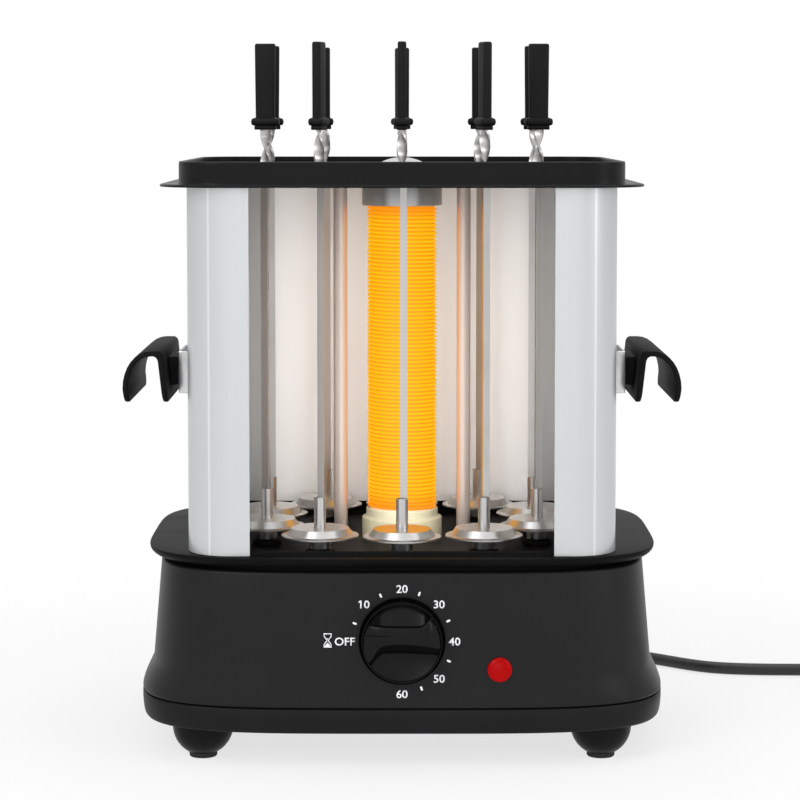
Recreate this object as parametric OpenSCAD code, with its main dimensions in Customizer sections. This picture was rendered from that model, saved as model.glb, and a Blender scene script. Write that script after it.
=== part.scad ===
// Electric skewer grill: ten geared skewers turn round an upright heater.
// Millimetres, +Z up, front faces -Y, origin on the table under the middle of the body.

/* [Gears and skewer ring] */
// Module of every gear
gear_module = 2; // [1.8:0.05:2.2]
// Teeth of each skewer gear
gear_teeth = 23; // [21:1:25]
// Teeth of the motor pinion
pinion_teeth = 12; // [11:1:14]
// Angle from the front centre station to its neighbour
front_angle = 6.6; // [4:0.2:10]
// Angle from that neighbour to the corner station
corner_angle = 47.1; // [44:0.5:52]
// Width of the gear rims
gear_w = 6; // [5:0.5:7]
// Radius of the gear shafts
shaft_r = 3; // [2.5:0.1:3.5]
// Radius of the gear hubs
gear_hub_r = 6; // [5:0.5:8]
// Thickness of the steel bearing plate
plate_t = 2; // [1.5:0.5:3]

/* [Skewer cups] */
// Outer radius of a cup
cup_r = 21.5; // [19:0.5:22.5]
// Radius of the flat top of a cup
cup_top_r = 16; // [13:0.5:18]
// Height of the flat top above the tray floor
cup_h = 15; // [14:0.5:18]
// Drop from the flat top to the rim of a cup
cup_drop = 4; // [3:0.1:5]
// Reach of the sloping side of a cup
cup_slope = 2.4; // [1.5:0.1:4]
// Sheet thickness of a cup
cup_t = 0.8; // [0.6:0.1:1]
// Outer radius of the skewer socket
socket_r = 3.3; // [3.2:0.1:3.8]
// Height of the socket above the cup
socket_h = 17; // [14:1:22]
// Width of the slit in the socket
slit_w = 0.8; // [0.6:0.1:1.2]

/* [Skewers] */
// Width of the folded blade
blade_w = 5.4; // [5:0.1:5.6]
// Width of the blade tip that stands in the socket
tip_w = 4.2; // [3.8:0.1:4.4]
// Sheet thickness of the blade
blade_t = 0.8; // [0.6:0.1:1]
// Height of the twisted neck
neck_h = 24; // [20:1:30]
// Width of the twisted neck
neck_w = 6.7; // [6:0.1:7.5]
// Thickness of the twisted neck
neck_t = 1.6; // [1.2:0.1:2]
// Turn of the neck over its height
neck_turn = 220; // [180:10:270]
// Gap between the cover and the underside of the grips
grip_clearance = 16.8; // [14:0.2:24]
// Height of a grip, from its ring to its top
grip_h = 48.3; // [40:0.1:56]
// Width of a grip bar
grip_w = 11.6; // [9:0.2:12.6]
// Thickness of a grip bar
grip_t = 4.8; // [4:0.2:5.6]
// Width of the bead round a grip
bead_w = 15.9; // [14:0.1:16.4]
// Thickness of the bead round a grip
bead_t = 8.4; // [7.5:0.1:9]

/* [Drip tray] */
// Room between the cups and the side walls of the well
well_room_x = 12.5; // [8:0.5:18]
// Room between the cups and the front and back walls of the well
well_room_y = 6.5; // [4:0.5:12]
// Height of the well wall above the tray floor
well_h = 7.5; // [7:0.5:12]
// Thickness of the well wall
well_t = 2; // [1.5:0.5:3]
// Thickness of the tray floor
tray_floor = 3; // [2:0.5:4]
// Thickness of the tray ledge
ledge_t = 5; // [3.5:0.5:6.5]
// Inward roll of the underside at the edge of the ledge
ledge_roll = 3; // [1:0.5:4]
// Reach of the ledge past the shield at the sides
ledge_x = 25; // [20:0.5:34]
// Reach of the ledge past the shield at the front and back
ledge_y = 8; // [8:0.5:14]

/* [Heat shield] */
// Height of the heat shield
shield_h = 201.9; // [180:0.1:230]
// Sheet thickness of the heat shield
shield_t = 0.8; // [0.6:0.1:1.2]
// Gap between the well wall and the shield at the sides
shield_gap_x = 3.7; // [2:0.1:6]
// Gap between the well wall and the shield at the front and back
shield_gap_y = 2.2; // [1.5:0.1:5]
// Corner radius of the shield
shield_r = 24; // [18:1:30]
// Width of each front return
front_return = 35; // [28:1:45]
// Width of each back return
back_return = 39; // [32:1:48]
// Lap of the rear reflector over each back return
back_lap = 6; // [4:1:10]

/* [Cover] */
// Height of the cover, from its brim to its rim
cover_h = 14; // [13:0.5:20]
// Overlap of the cover over the shield
cover_lap = 2.3; // [2:0.1:5]
// Wall thickness of the cover
cover_wall = 2.2; // [1.6:0.2:3]
// Thickness of the brim and top plate
cover_t = 2; // [1.5:0.5:2.5]
// Room between the shield and the cover wall at the sides
cover_room_x = 2; // [1:0.1:4]
// Room between the shield and the cover wall at the front and back
cover_room_y = 0.6; // [0.4:0.1:1.5]
// Reach of the brim past the cover wall at the sides
brim_x = 11; // [8:0.5:20]
// Reach of the brim past the cover wall at the front and back
brim_y = 2; // [1:0.5:6]
// Radius of the skewer holes in the cover
skewer_hole_r = 10; // [9.5:0.1:11]
// Base radius of the polished dome
dome_r = 19; // [15:0.5:22]
// Sphere radius of the polished dome
dome_ball_r = 26.7; // [23:0.1:34]

/* [Heater] */
// Outer radius of the ceramic tube
core_r = 18.85; // [16:0.05:20]
// Wall of the ceramic tube
core_wall = 4; // [3:0.5:6]
// Pitch of the heating coil
coil_pitch = 2.3; // [2:0.1:3]
// Reach of the heating coil past the tube
coil_t = 0.9; // [0.7:0.1:1.2]
// Radius of the heater foot and of the top holder
heater_foot_r = 23; // [21:0.5:25]
// Height of the heater foot
heater_foot_h = 18; // [14:1:24]
// Depth of the top holder
holder_h = 13; // [10:0.5:18]
// Radius of the support posts
post_r = 4; // [3:0.5:5]
// Distance of each support post from the centre
post_x = 35.4; // [32:0.2:38]

/* [Base] */
// Reach of the base past the tray at the sides
flare_x = 4.5; // [2:0.5:8]
// Reach of the base past the tray at the front and back
flare_y = 1; // [0.5:0.5:4]
// Height of the housing
housing_h = 73.4; // [66:0.2:84]
// Wall thickness of the housing and the bottom pan
wall = 3; // [2.5:0.5:4]
// Inward step of the side shoulders
shoulder_w = 6.5; // [4:0.5:12]
// Height of the side shoulders
shoulder_h = 18.4; // [14:0.2:26]
// Draft of the side walls
draft_x = 4.8; // [3:0.2:6]
// Draft of the front and back walls
draft_y = 4; // [3:0.2:5]
// Height of the bottom pan
pan_h = 13.7; // [12:0.1:18]
// Shadow groove between pan and housing
groove_h = 0.6; // [0.4:0.1:1]

/* [Feet] */
// Height of the body above the table
foot_h = 19.3; // [17:0.1:22]
// Radius of the ball feet
foot_r = 16.5; // [15:0.1:18]
// Distance of the feet from the centre at the sides
foot_x = 110; // [100:1:114]
// Distance of the feet from the centre at the front and back
foot_y = 72; // [66:1:78]
// Radius of the rubber pads
pad_r = 7.75; // [7:0.25:9]
// Thickness of the rubber pads
pad_h = 4; // [3:0.5:5]

/* [Controls] */
// Diameter of the timer knob
knob_d = 47; // [40:1:50]
// Diameter of the knob cap
knob_cap_d = 42.4; // [36:0.2:44]
// Height of the knob axis above the bottom pan
knob_h = 37.5; // [35:0.5:40]
// Reach of the knob from the wall
knob_reach = 18; // [15:0.5:22]
// Diameter of the pilot lens
lens_d = 13.4; // [11:0.2:16]
// Distance of the pilot lens from the centre
lens_x = 52.8; // [48:0.2:60]
// Height of the pilot lens above the bottom pan
lens_h = 21.7; // [19:0.1:26]

/* [Side handles] */
// Length of each handle
handle_len = 100; // [80:2:120]
// Width of a handle across its two legs
handle_w = 25; // [22:0.5:30]
// Height of a handle
handle_h = 29; // [26:0.5:34]
// Wall thickness of a handle
handle_t = 3; // [2.6:0.1:4]
// Height of the handle tips above the foot of the shield
handle_z = 78.4; // [60:0.1:110]
// Length of the block between handle and clip
block_len = 46; // [36:1:60]
// Height of that block
block_h = 16; // [14:0.5:18]
// Reach of that block
block_t = 4.8; // [4:0.2:7]
// Depth of the steel clip
clip_d = 9.5; // [8:0.5:12]
// Sheet thickness of the steel clip
clip_t = 1.2; // [1:0.1:1.6]
// Height of the steel clip
clip_h = 24; // [22:0.5:26]

/* [Cord] */
// Diameter of the cord
cord_d = 7.5; // [6:0.5:7.5]
// Length of the plug body
plug_len = 36; // [32:1:44]
// Width of the plug body
plug_w = 26; // [24:1:30]

/* [Hidden] */
big = 400;
run_clear = 0.08; // radial clearance of a shaft in its bearing
seat = 0.3; // gap between a moving piece and its seat
fit = 0.1; // gap between fixed pieces that plug together
outline_e = 4.2; // exponent of the body's rounded outline
outline_n = 96; // points of that outline
$fn = 48;

// Heights, from the table up
pan_z0 = foot_h;
pan_z1 = pan_z0 + pan_h;
housing_z0 = pan_z1 + groove_h;
housing_z1 = housing_z0 + housing_h;
deck_t = 2.5;
deck_z0 = housing_z1 - deck_t;
tray_z = housing_z1 + tray_floor;
ledge_z = tray_z + ledge_t;
shield_z0 = ledge_z + seat;
shield_z1 = shield_z0 + shield_h;
cover_z0 = shield_z1 - cover_lap;
cover_plate_z = shield_z1 + seat;
cover_z1 = cover_z0 + cover_h;
grip_z0 = cover_z1 + grip_clearance;
grip_z1 = grip_z0 + grip_h;

// Gears and stations
gear_pitch = gear_module * gear_teeth;
pinion_gap = gear_module * (gear_teeth + pinion_teeth) / 2;
gear_headroom = 2.5;
gear_z1 = deck_z0 - gear_headroom;
gear_z0 = gear_z1 - gear_w;
hub_drop = 3.7;
plate_z1 = gear_z0 - hub_drop - seat;
plate_z0 = plate_z1 - plate_t;
shaft_tail = 4;
x_front = gear_pitch * cos(front_angle);
x_side = x_front + gear_pitch * cos(corner_angle);
y_side = gear_pitch / 2;
y_corner = y_side + gear_pitch * sin(corner_angle);
y_front = y_corner + gear_pitch * sin(front_angle);
STATIONS = [
    [0, -y_front], [x_front, -y_corner], [x_side, -y_side],
    [x_side, y_side], [x_front, y_corner], [0, y_front],
    [-x_front, y_corner], [-x_side, y_side],
    [-x_side, -y_side], [-x_front, -y_corner]];
pinion_at = [0, pinion_gap - y_front];
// Turn of each skewer grip, broad side measured from +X
GRIP_TURN = [90, 108, 5, 170, 60, 120, 100, 12, 175, 72];

// Tray, shield and cover outlines, as half sizes
well_x = x_side + cup_r + well_room_x;
well_y = y_front + cup_r + well_room_y;
well_r = shield_r - 6;
shield_x = well_x + well_t + shield_gap_x + shield_t;
shield_y = well_y + well_t + shield_gap_y + shield_t;
tray_x = shield_x + ledge_x;
tray_y = shield_y + ledge_y;
neck_in_x = 17; // set-back of the tray floor from the edge of the ledge
neck_in_y = 9;
cover_x = shield_x + cover_room_x + cover_wall;
cover_y = shield_y + cover_room_y + cover_wall;
cover_r = shield_r + 1;
brim_r = 34;
brim_t = 1.5;
base_x = tray_x + flare_x;
base_y = tray_y + flare_y;

// Skewer cups and skewers
cup_z1 = tray_z + cup_h;
socket_z1 = cup_z1 + socket_h;
boss_r = 8;
boss_h = 3;
cup_hub_r = 6;
cup_hub_z = tray_z + boss_h + 0.5;
shaft_top = cup_z1 - 4;
cup_rise = 0.4; // rise of the rim from its edge to the sloping side
rim_z = cup_z1 - cup_drop;
slit_h = 12; // height of the slit in a socket
tip_z = cup_z1 + 1;
blade_z0 = socket_z1 + seat;
neck_z0 = grip_z0 - neck_h;
tang_h = 30;
socket_bore = 2.55;

// Heater
heater_seat = 3;
heater_step_r = core_r + 1.8;
heater_step_h = 13;
coil_z0 = tray_z + heater_foot_h + fit;
strip_t = 1.5;
strip_w = 14;
strip_z0 = cover_plate_z - strip_t - 2 * seat;
holder_z0 = strip_z0 - holder_h;
coil_z1 = holder_z0 - 4;
holder_wall = 1.2;

// Cord route, chosen by hand: out of the gland, down to the table, then to the coil
ROUTE = [
    [60, 120, 48], [60, 134, 48], [62, 148, 43], [67, 161, 34], [75, 172, 24],
    [86, 180, 14.5], [99, 184, 8], [113, 185, 4.6], [127, 182.5, 3.8], [141, 177, 3.8],
    [153, 170, 3.8], [163, 162, 3.8], [173, 153, 3.8], [182, 145, 3.8], [192, 138, 3.8],
    [203, 133, 3.8], [225, 129.5, 3.8], [250, 129, 3.8], [270, 129, 3.8], [288, 129, 3.8]];
coil_x = 312;
coil_y = 84;
coil_turn_r = 41.2; // mean radius of the stored turns
coil_w = 15.2; // two turns side by side
coil_h = 15.2; // two turns on each other
plug_h = 17;
plug_cone = 16;
pin_r = 2.4;
pin_len = 19;
pin_gap = 19;

function two(i) = i < 10 ? str("0", i) : str(i);
ROTORS = [for (i = [1:10]) str("rotor_", two(i))];
BLADES = [for (i = [1:10]) str("skewer_blade_", two(i))];
GRIPS = [for (i = [1:10]) str("skewer_grip_", two(i))];

// ---- outlines ----

function sgn(v) = v < 0 ? -1 : 1;
function soft(v) = sgn(v) * pow(abs(v), 2 / outline_e);
// Rounded outline of the body, with half sizes hx and hy
function outline(hx, hy) = [
    for (i = [0:outline_n - 1])
        let (t = 360 * (i + 0.5) / outline_n) [hx * soft(cos(t)), hy * soft(sin(t))]];

module slab(hx, hy, z0, z1) {
    translate([0, 0, z0]) linear_extrude(z1 - z0) polygon(outline(hx, hy));
}

// Closed skin through sections [z, half width, half depth]
module loft(sections) {
    n = outline_n;
    levels = len(sections);
    points = [for (s = sections) for (p = outline(s[1], s[2])) [p[0], p[1], s[0]]];
    sides = [for (k = [0:levels - 2]) for (i = [0:n - 1])
        let (j = (i + 1) % n, a = k * n + i, b = a + n, c = (k + 1) * n + j, d = k * n + j)
        each [[a, b, c], [a, c, d]]];
    floor = [[for (i = [0:n - 1]) i]];
    roof = [[for (i = [n - 1:-1:0]) (levels - 1) * n + i]];
    polyhedron(points, concat(floor, sides, roof));
}

module rounded(hx, hy, r) {
    square([2 * hx, 2 * (hy - r)], center = true);
    square([2 * (hx - r), 2 * hy], center = true);
    for (sx = [-1, 1], sy = [-1, 1]) translate([sx * (hx - r), sy * (hy - r)]) circle(r);
}

module ring(hx, hy, r, t) {
    difference() {
        rounded(hx, hy, r);
        rounded(hx - t, hy - t, r - t);
    }
}

module bore(x, y, r, z0, z1) {
    translate([x, y, z0]) cylinder(r = r, h = z1 - z0);
}

module at_feet() {
    for (sx = [-1, 1], sy = [-1, 1]) translate([sx * foot_x, sy * foot_y, 0]) children();
}

// ---- base ----

function ease(t) = t < 0 ? 0 : t > 1 ? 1 : t * t * (3 - 2 * t);
function housing_x(z) = base_x - shoulder_w * ease((z - housing_z0) / shoulder_h)
    - max(0, z - housing_z0 - shoulder_h) * tan(draft_x);
function housing_y(z) = base_y - (z - housing_z0) * tan(draft_y);
function front_y(x, z) =
    -housing_y(z) * pow(1 - pow(abs(x) / housing_x(z), outline_e), 1 / outline_e);

// Frame on the front wall: +Z out of the wall, +Y up it
module on_front(x, z) {
    translate([x, front_y(x, z), z]) rotate([90 - draft_y, 0, 0]) children();
}

edge_r = 1.5;
shoulder_steps = 6;
housing_levels = concat(
    [for (k = [0:shoulder_steps]) housing_z0 + shoulder_h * k / shoulder_steps],
    [housing_z1 - edge_r, housing_z1]);
column_r = 4.5;
screw_r = 2;
screw_fit = 0.06;
plate_post_r = 4;
plate_screw_r = 1.5;
deck_hole_r = 7;
vent_w = 2.5;
vent_h = 16;
vent_pitch = 6;
knob_z = pan_z1 + knob_h;
lens_z = pan_z1 + lens_h;
plate_over_x = 27; // reach of the gear plate past the outer shafts
plate_over_y = 8;
plate_x = x_side + plate_over_x;
plate_y = y_front + plate_over_y;
plate_r = 8;
PLATE_POSTS = concat(
    [for (sx = [-1, 1]) [sx * (x_side - 35), 0]],
    [for (sx = [-1, 1], sy = [-1, 1]) [sx * (x_side + 21), sy * y_corner]]);

module housing_skin() {
    loft([for (z = housing_levels)
        let (soften = z == housing_z1 ? edge_r : 0)
        [z, housing_x(z) - soften, housing_y(z) - soften]]);
}

module housing_cavity() {
    loft([for (k = [0:shoulder_steps + 1])
        let (z = k <= shoulder_steps ? housing_levels[k] : deck_z0)
        [k == 0 ? z - 1 : z, housing_x(z) - wall, housing_y(z) - wall]]);
}

module back_vents() {
    for (k = [-4:4])
        translate([k * vent_pitch - vent_w / 2, housing_y(housing_z1) - 2 * wall,
                   housing_z0 + housing_h / 2])
            cube([vent_w, 6 * wall, vent_h]);
}

module base_housing() {
    color([0.13, 0.13, 0.135]) difference() {
        union() {
            difference() {
                housing_skin();
                housing_cavity();
            }
            at_feet() bore(0, 0, column_r, pan_z0 + wall, deck_z0 + deck_t / 2);
            for (p = PLATE_POSTS)
                bore(p[0], p[1], plate_post_r, plate_z1, deck_z0 + deck_t / 2);
        }
        for (p = STATIONS) bore(p[0], p[1], deck_hole_r, deck_z0 - 1, housing_z1 + 1);
        at_feet() bore(0, 0, screw_r + screw_fit, pan_z0, pan_z0 + foot_screw_h + 3);
        for (p = PLATE_POSTS)
            bore(p[0], p[1], plate_screw_r + screw_fit, plate_z1 - 1, plate_z1 + plate_screw_h + 1);
        on_front(0, knob_z) translate([0, 0, -2 * wall])
            cylinder(r = shaft_r + 2, h = 4 * wall);
        on_front(lens_x, lens_z) translate([0, 0, -2 * wall])
            cylinder(r = lens_d / 2 - lens_step + fit, h = 4 * wall);
        translate([gland_x, 0, gland_z]) rotate([-90, 0, 0]) {
            bore(0, 0, gland_neck_r + fit, gland_seat - 2 * wall, gland_seat + wall);
            bore(0, 0, gland_flange_r + fit, gland_seat, gland_seat + 2 * wall);
        }
        back_vents();
    }
}

// Height and inward step of each level of the pan's rounded underside
pan_levels = [
    [pan_z0, 2], [pan_z0 + 0.8, 1.1], [pan_z0 + 3, 0.6], [pan_z0 + 8, 0], [pan_z1, 0]];
pan_wall = wall + 3; // wall of the pan behind its rounded underside
tongue_h = 4.5; // rim that stands up inside the housing
tongue_in = wall + 2.1;
tongue_t = 2.4;
slot_w = 4;
slot_len = 44;
slot_pitch = 14;
slot_y = 50;

module bottom_pan() {
    color([0.12, 0.12, 0.125]) difference() {
        union() {
            difference() {
                loft([for (s = pan_levels) [s[0], base_x - s[1], base_y - s[1]]]);
                slab(base_x - pan_wall, base_y - pan_wall, pan_z0 + wall, pan_z1 + 1);
            }
            difference() {
                slab(base_x - tongue_in, base_y - tongue_in, pan_z1 - wall,
                     pan_z1 + tongue_h);
                slab(base_x - tongue_in - tongue_t, base_y - tongue_in - tongue_t,
                     pan_z1 - 2 * wall, pan_z1 + tongue_h + 1);
            }
        }
        at_feet() bore(0, 0, screw_r + screw_fit, pan_z0 - 1, pan_z0 + wall + 1);
        for (sy = [-1, 1], k = [-3:3])
            translate([k * slot_pitch - slot_w / 2, sy * slot_y - slot_len / 2, pan_z0 - 1])
                cube([slot_w, slot_len, wall + 2]);
    }
}

ball_z = pad_h + sqrt(pow(foot_r, 2) - pow(pad_r, 2)); // centre of the ball feet
screw_head_h = 2.5;
head_gap = 0.2; // room round a screw head
foot_screw_h = 22; // reach of the foot screws into the body
plate_screw_h = 8;

module feet() {
    color([0.1, 0.1, 0.1]) at_feet() difference() {
        intersection() {
            translate([0, 0, ball_z]) sphere(foot_r);
            bore(0, 0, foot_r + 1, pad_h, pan_z0);
        }
        bore(0, 0, screw_r + screw_fit, pad_h - 1, pan_z0 + 1);
        bore(0, 0, 2 * screw_r + head_gap, pad_h - 1, pad_h + screw_head_h + head_gap);
    }
}

module foot_pads() {
    color([0.06, 0.06, 0.06]) at_feet() cylinder(r = pad_r, h = pad_h);
}

module case_screws() {
    head_z = pad_h + head_gap;
    color([0.7, 0.7, 0.72]) {
        at_feet() {
            bore(0, 0, 2 * screw_r, head_z, head_z + screw_head_h);
            bore(0, 0, screw_r, head_z + screw_head_h, pan_z0 + foot_screw_h);
        }
        for (p = PLATE_POSTS) {
            bore(p[0], p[1], 2 * plate_screw_r, plate_z0 - plate_t, plate_z0);
            bore(p[0], p[1], plate_screw_r, plate_z0, plate_z1 + plate_screw_h);
        }
    }
}

// ---- tray ----

// Height and inward step of each level of the ledge's rolled edge
ledge_levels = [
    [tray_z, ledge_roll], [tray_z + 0.3 * ledge_t, 0.4 * ledge_roll],
    [tray_z + 0.6 * ledge_t, 0.1 * ledge_roll], [ledge_z - 0.6, 0], [ledge_z, 0.5]];

module drip_tray() {
    color([0.1, 0.1, 0.105]) difference() {
        union() {
            slab(tray_x - neck_in_x, tray_y - neck_in_y, housing_z1, tray_z);
            difference() {
                loft([for (s = ledge_levels) [s[0], tray_x - s[1], tray_y - s[1]]]);
                translate([0, 0, tray_z - 1]) linear_extrude(ledge_t + 2)
                    rounded(well_x + well_t / 2, well_y + well_t / 2, well_r);
            }
            translate([0, 0, tray_z]) linear_extrude(well_h)
                ring(well_x + well_t, well_y + well_t, well_r + well_t, well_t);
            for (p = STATIONS) bore(p[0], p[1], boss_r, tray_z, tray_z + boss_h);
        }
        for (p = STATIONS)
            bore(p[0], p[1], shaft_r + run_clear, housing_z1 - 1, tray_z + boss_h + 1);
    }
}

// ---- gears, shafts and cups ----

pressure = 20; // pressure angle of the teeth
addendum = 0.8;
dedendum = 1.1;
backlash = 0.4; // thinning of each tooth at the pitch circle, in millimetres

function inv(r, rb) = r <= rb ? 0 : (sqrt(pow(r / rb, 2) - 1) * 180 / PI - acos(rb / r));
// Half angle of a tooth at radius r
function tooth_half(r, rp, rb, teeth) =
    90 / teeth - backlash / rp * 90 / PI + inv(rp, rb) - inv(r, rb);
function polar(r, a) = [r * cos(a), r * sin(a)];

function gear_outline(teeth, phase) =
    let (rp = gear_module * teeth / 2, rb = rp * cos(pressure),
         ra = rp + addendum * gear_module, rr = rp - dedendum * gear_module,
         flank = [rr, rb, (rb + rp) / 2 + 0.3, (rp + ra) / 2, ra])
    [for (k = [0:teeth - 1])
        let (mid = phase + 360 * k / teeth)
        each concat(
            [for (i = [0:4]) polar(flank[i], mid - tooth_half(flank[i], rp, rb, teeth))],
            [for (i = [4:-1:0]) polar(flank[i], mid + tooth_half(flank[i], rp, rb, teeth))])];

function heading(i) =
    atan2(STATIONS[i + 1][1] - STATIONS[i][1], STATIONS[i + 1][0] - STATIONS[i][0]);
// Turn of gear i at which its teeth stand in the gaps of gear i - 1
function phase(i) =
    i == 0 ? 0 : 2 * heading(i - 1) + 180 - 180 / gear_teeth - phase(i - 1);
pinion_phase =
    90 + 180 - 180 / pinion_teeth - (phase(0) - 90) * gear_teeth / pinion_teeth;

module drive_gear(i) {
    p = STATIONS[i];
    color([0.86, 0.85, 0.8]) translate([p[0], p[1], 0]) {
        translate([0, 0, gear_z0]) linear_extrude(gear_w)
            polygon(gear_outline(gear_teeth, phase(i)));
        bore(0, 0, gear_hub_r, plate_z1 + seat, gear_z0 + 1);
        bore(0, 0, shaft_r, plate_z0 - shaft_tail, shaft_top);
    }
}

module cup(i) {
    p = STATIONS[i];
    color([0.82, 0.82, 0.83]) translate([p[0], p[1], 0]) difference() {
        union() {
            rotate_extrude() polygon([
                [shaft_r + 1, cup_z1 - cup_t], [cup_top_r - cup_t / 2, cup_z1 - cup_t],
                [cup_top_r + cup_slope - cup_t / 2, rim_z + cup_rise - cup_t],
                [cup_r, rim_z - cup_t], [cup_r, rim_z],
                [cup_top_r + cup_slope, rim_z + cup_rise],
                [cup_top_r, cup_z1], [shaft_r + 1, cup_z1]]);
            bore(0, 0, cup_hub_r, cup_hub_z, cup_z1);
            bore(0, 0, socket_r, cup_z1, socket_z1);
        }
        bore(0, 0, shaft_r + fit / 5, cup_hub_z - 1, shaft_top);
        bore(0, 0, socket_bore, cup_z1, socket_z1 + 1);
        translate([-slit_w / 2, 0, socket_z1 - slit_h]) cube([slit_w, socket_r + 1, slit_h + 1]);
    }
}

module rotor(i) {
    drive_gear(i);
    cup(i);
}

module gear_plate() {
    color([0.7, 0.71, 0.73]) difference() {
        translate([0, 0, plate_z0]) linear_extrude(plate_t) rounded(plate_x, plate_y, plate_r);
        for (p = STATIONS) bore(p[0], p[1], shaft_r + run_clear, plate_z0 - 1, plate_z1 + 1);
        for (p = PLATE_POSTS)
            bore(p[0], p[1], plate_screw_r + screw_fit, plate_z0 - 1, plate_z1 + 1);
        bore(pinion_at[0], pinion_at[1], shaft_r + 2, plate_z0 - 1, plate_z1 + 1);
    }
}

motor_r = 25;
motor_h = 22;
motor_bore_h = 10;
motor_cap_h = 3;

module gear_motor() {
    color([0.75, 0.75, 0.77]) translate([pinion_at[0], pinion_at[1], 0]) difference() {
        union() {
            bore(0, 0, motor_r, plate_z0 - motor_h, plate_z0);
            bore(0, 0, motor_r * 0.6, plate_z0 - motor_h - motor_cap_h, plate_z0 - motor_h);
        }
        bore(0, 0, shaft_r + run_clear, plate_z0 - motor_bore_h, plate_z0 + 1);
    }
}

module motor_pinion() {
    color([0.72, 0.6, 0.35]) translate([pinion_at[0], pinion_at[1], 0]) {
        translate([0, 0, gear_z0]) linear_extrude(gear_w)
            polygon(gear_outline(pinion_teeth, pinion_phase));
        bore(0, 0, shaft_r, plate_z0 - motor_bore_h + 1, gear_z0);
    }
}

// ---- skewers ----

// Sheet of thickness t folded to a right-angled V of width w
function vee(w, t) =
    let (s = t / sqrt(2)) [
        [-w / 2, w / 4], [0, -w / 4], [w / 2, w / 4],
        [w / 2 - s, w / 4 + s], [0, 2 * s - w / 4], [s - w / 2, w / 4 + s]];

module at_station(i) {
    translate([STATIONS[i][0], STATIONS[i][1], 0]) rotate([0, 0, GRIP_TURN[i]]) children();
}

module skewer_blade(i) {
    color([0.85, 0.85, 0.86]) at_station(i) {
        translate([0, 0, blade_z0]) linear_extrude(neck_z0 - blade_z0 + 1)
            polygon(vee(blade_w, blade_t));
        translate([0, 0, tip_z]) linear_extrude(blade_z0 - tip_z + 1)
            polygon(vee(tip_w, blade_t));
        translate([0, 0, neck_z0]) linear_extrude(neck_h, twist = neck_turn, slices = 14, $fn = 4)
            square([neck_w, neck_t], center = true);
        translate([0, 0, grip_z0]) rotate([0, 0, -neck_turn])
            linear_extrude(tang_h) square([neck_w, neck_t], center = true);
    }
}

ring_h = 2.3;
ring_out = 0.6; // step of the ring past the bar
bead_h = 4.2;
bead_soft = 1; // bevel of the bead

module grip_layer(w, t, z, h) {
    translate([0, 0, grip_z0 + z]) linear_extrude(h) rounded(w / 2, t / 2, t * 0.3);
}

module skewer_grip(i) {
    soft = 1.6 * bead_soft;
    color([0.12, 0.12, 0.12]) at_station(i) difference() {
        union() {
            grip_layer(grip_w + ring_out, grip_t + 1.6 * ring_out, 0, ring_h);
            grip_layer(bead_w - soft, bead_t - soft, ring_h, bead_soft);
            grip_layer(bead_w, bead_t, ring_h + bead_soft, bead_h - 2 * bead_soft);
            grip_layer(bead_w - soft, bead_t - soft, ring_h + bead_h - bead_soft, bead_soft);
            grip_layer(grip_w, grip_t, ring_h + bead_h, grip_h - ring_h - bead_h);
        }
        translate([0, 0, grip_z0 - 1]) rotate([0, 0, -neck_turn]) linear_extrude(tang_h + 2)
            square([neck_w + 2 * fit, neck_t + 2 * fit], center = true);
    }
}

// ---- heater ----

module heater_core() {
    color([0.93, 0.88, 0.75]) difference() {
        bore(0, 0, core_r, tray_z + heater_seat, strip_z0 - 1);
        bore(0, 0, core_r - core_wall, tray_z, strip_z0 + 1);
    }
}

// The winding, as one sleeve with a rib for each turn
module heater_coil() {
    turns = floor((coil_z1 - coil_z0) / coil_pitch);
    root = core_r + fit + 0.25;
    tip = core_r + coil_t;
    profile = concat(
        [[core_r + fit, coil_z0]],
        [for (k = [0:turns - 1]) let (z = coil_z0 + k * coil_pitch)
            each [[root, z], [tip, z + coil_pitch * 0.3], [tip, z + coil_pitch * 0.7]]],
        [[root, coil_z0 + turns * coil_pitch], [core_r + fit, coil_z0 + turns * coil_pitch]]);
    color([1, 0.62, 0.1]) rotate_extrude() polygon(profile);
}

module heater_foot() {
    color([0.9, 0.86, 0.74]) difference() {
        union() {
            bore(0, 0, heater_foot_r, tray_z, tray_z + heater_step_h);
            bore(0, 0, heater_step_r, tray_z + heater_step_h, tray_z + heater_foot_h);
        }
        bore(0, 0, core_r + fit, tray_z + heater_seat, tray_z + heater_foot_h + 1);
    }
}

module heater_top_holder() {
    color([0.72, 0.72, 0.73]) {
        difference() {
            bore(0, 0, heater_foot_r, holder_z0, strip_z0);
            bore(0, 0, heater_foot_r - holder_wall, holder_z0 + holder_wall, strip_z0 - 1);
            bore(0, 0, core_r + fit, holder_z0 - 1, strip_z0 - 1);
        }
        translate([-post_x - strip_w / 2, -strip_w / 2, strip_z0])
            cube([2 * post_x + strip_w, strip_w, strip_t]);
    }
}

module support_posts() {
    color([0.75, 0.75, 0.76]) for (sx = [-1, 1]) bore(sx * post_x, 0, post_r, tray_z, strip_z0);
}

// ---- heat shield ----

module shield_sheet(side) {
    translate([0, 0, shield_z0]) linear_extrude(shield_h) intersection() {
        ring(shield_x, shield_y, shield_r, shield_t);
        union() {
            translate([side > 0 ? shield_x - front_return : -shield_x, -big])
                square([front_return, big]);
            translate([side > 0 ? shield_x - back_return : -shield_x, 0])
                square([back_return, big]);
        }
    }
}

module reflector_left() {
    color([0.83, 0.84, 0.85]) shield_sheet(-1);
}

module reflector_right() {
    color([0.83, 0.84, 0.85]) shield_sheet(1);
}

rear_x = shield_x - back_return + back_lap;

module rear_reflector() {
    color([0.9, 0.9, 0.91]) translate([-rear_x, shield_y - 2 * shield_t, shield_z0])
        cube([2 * rear_x, shield_t, shield_h]);
}

rivet_r = 1.6;
rivets = 4;

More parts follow.
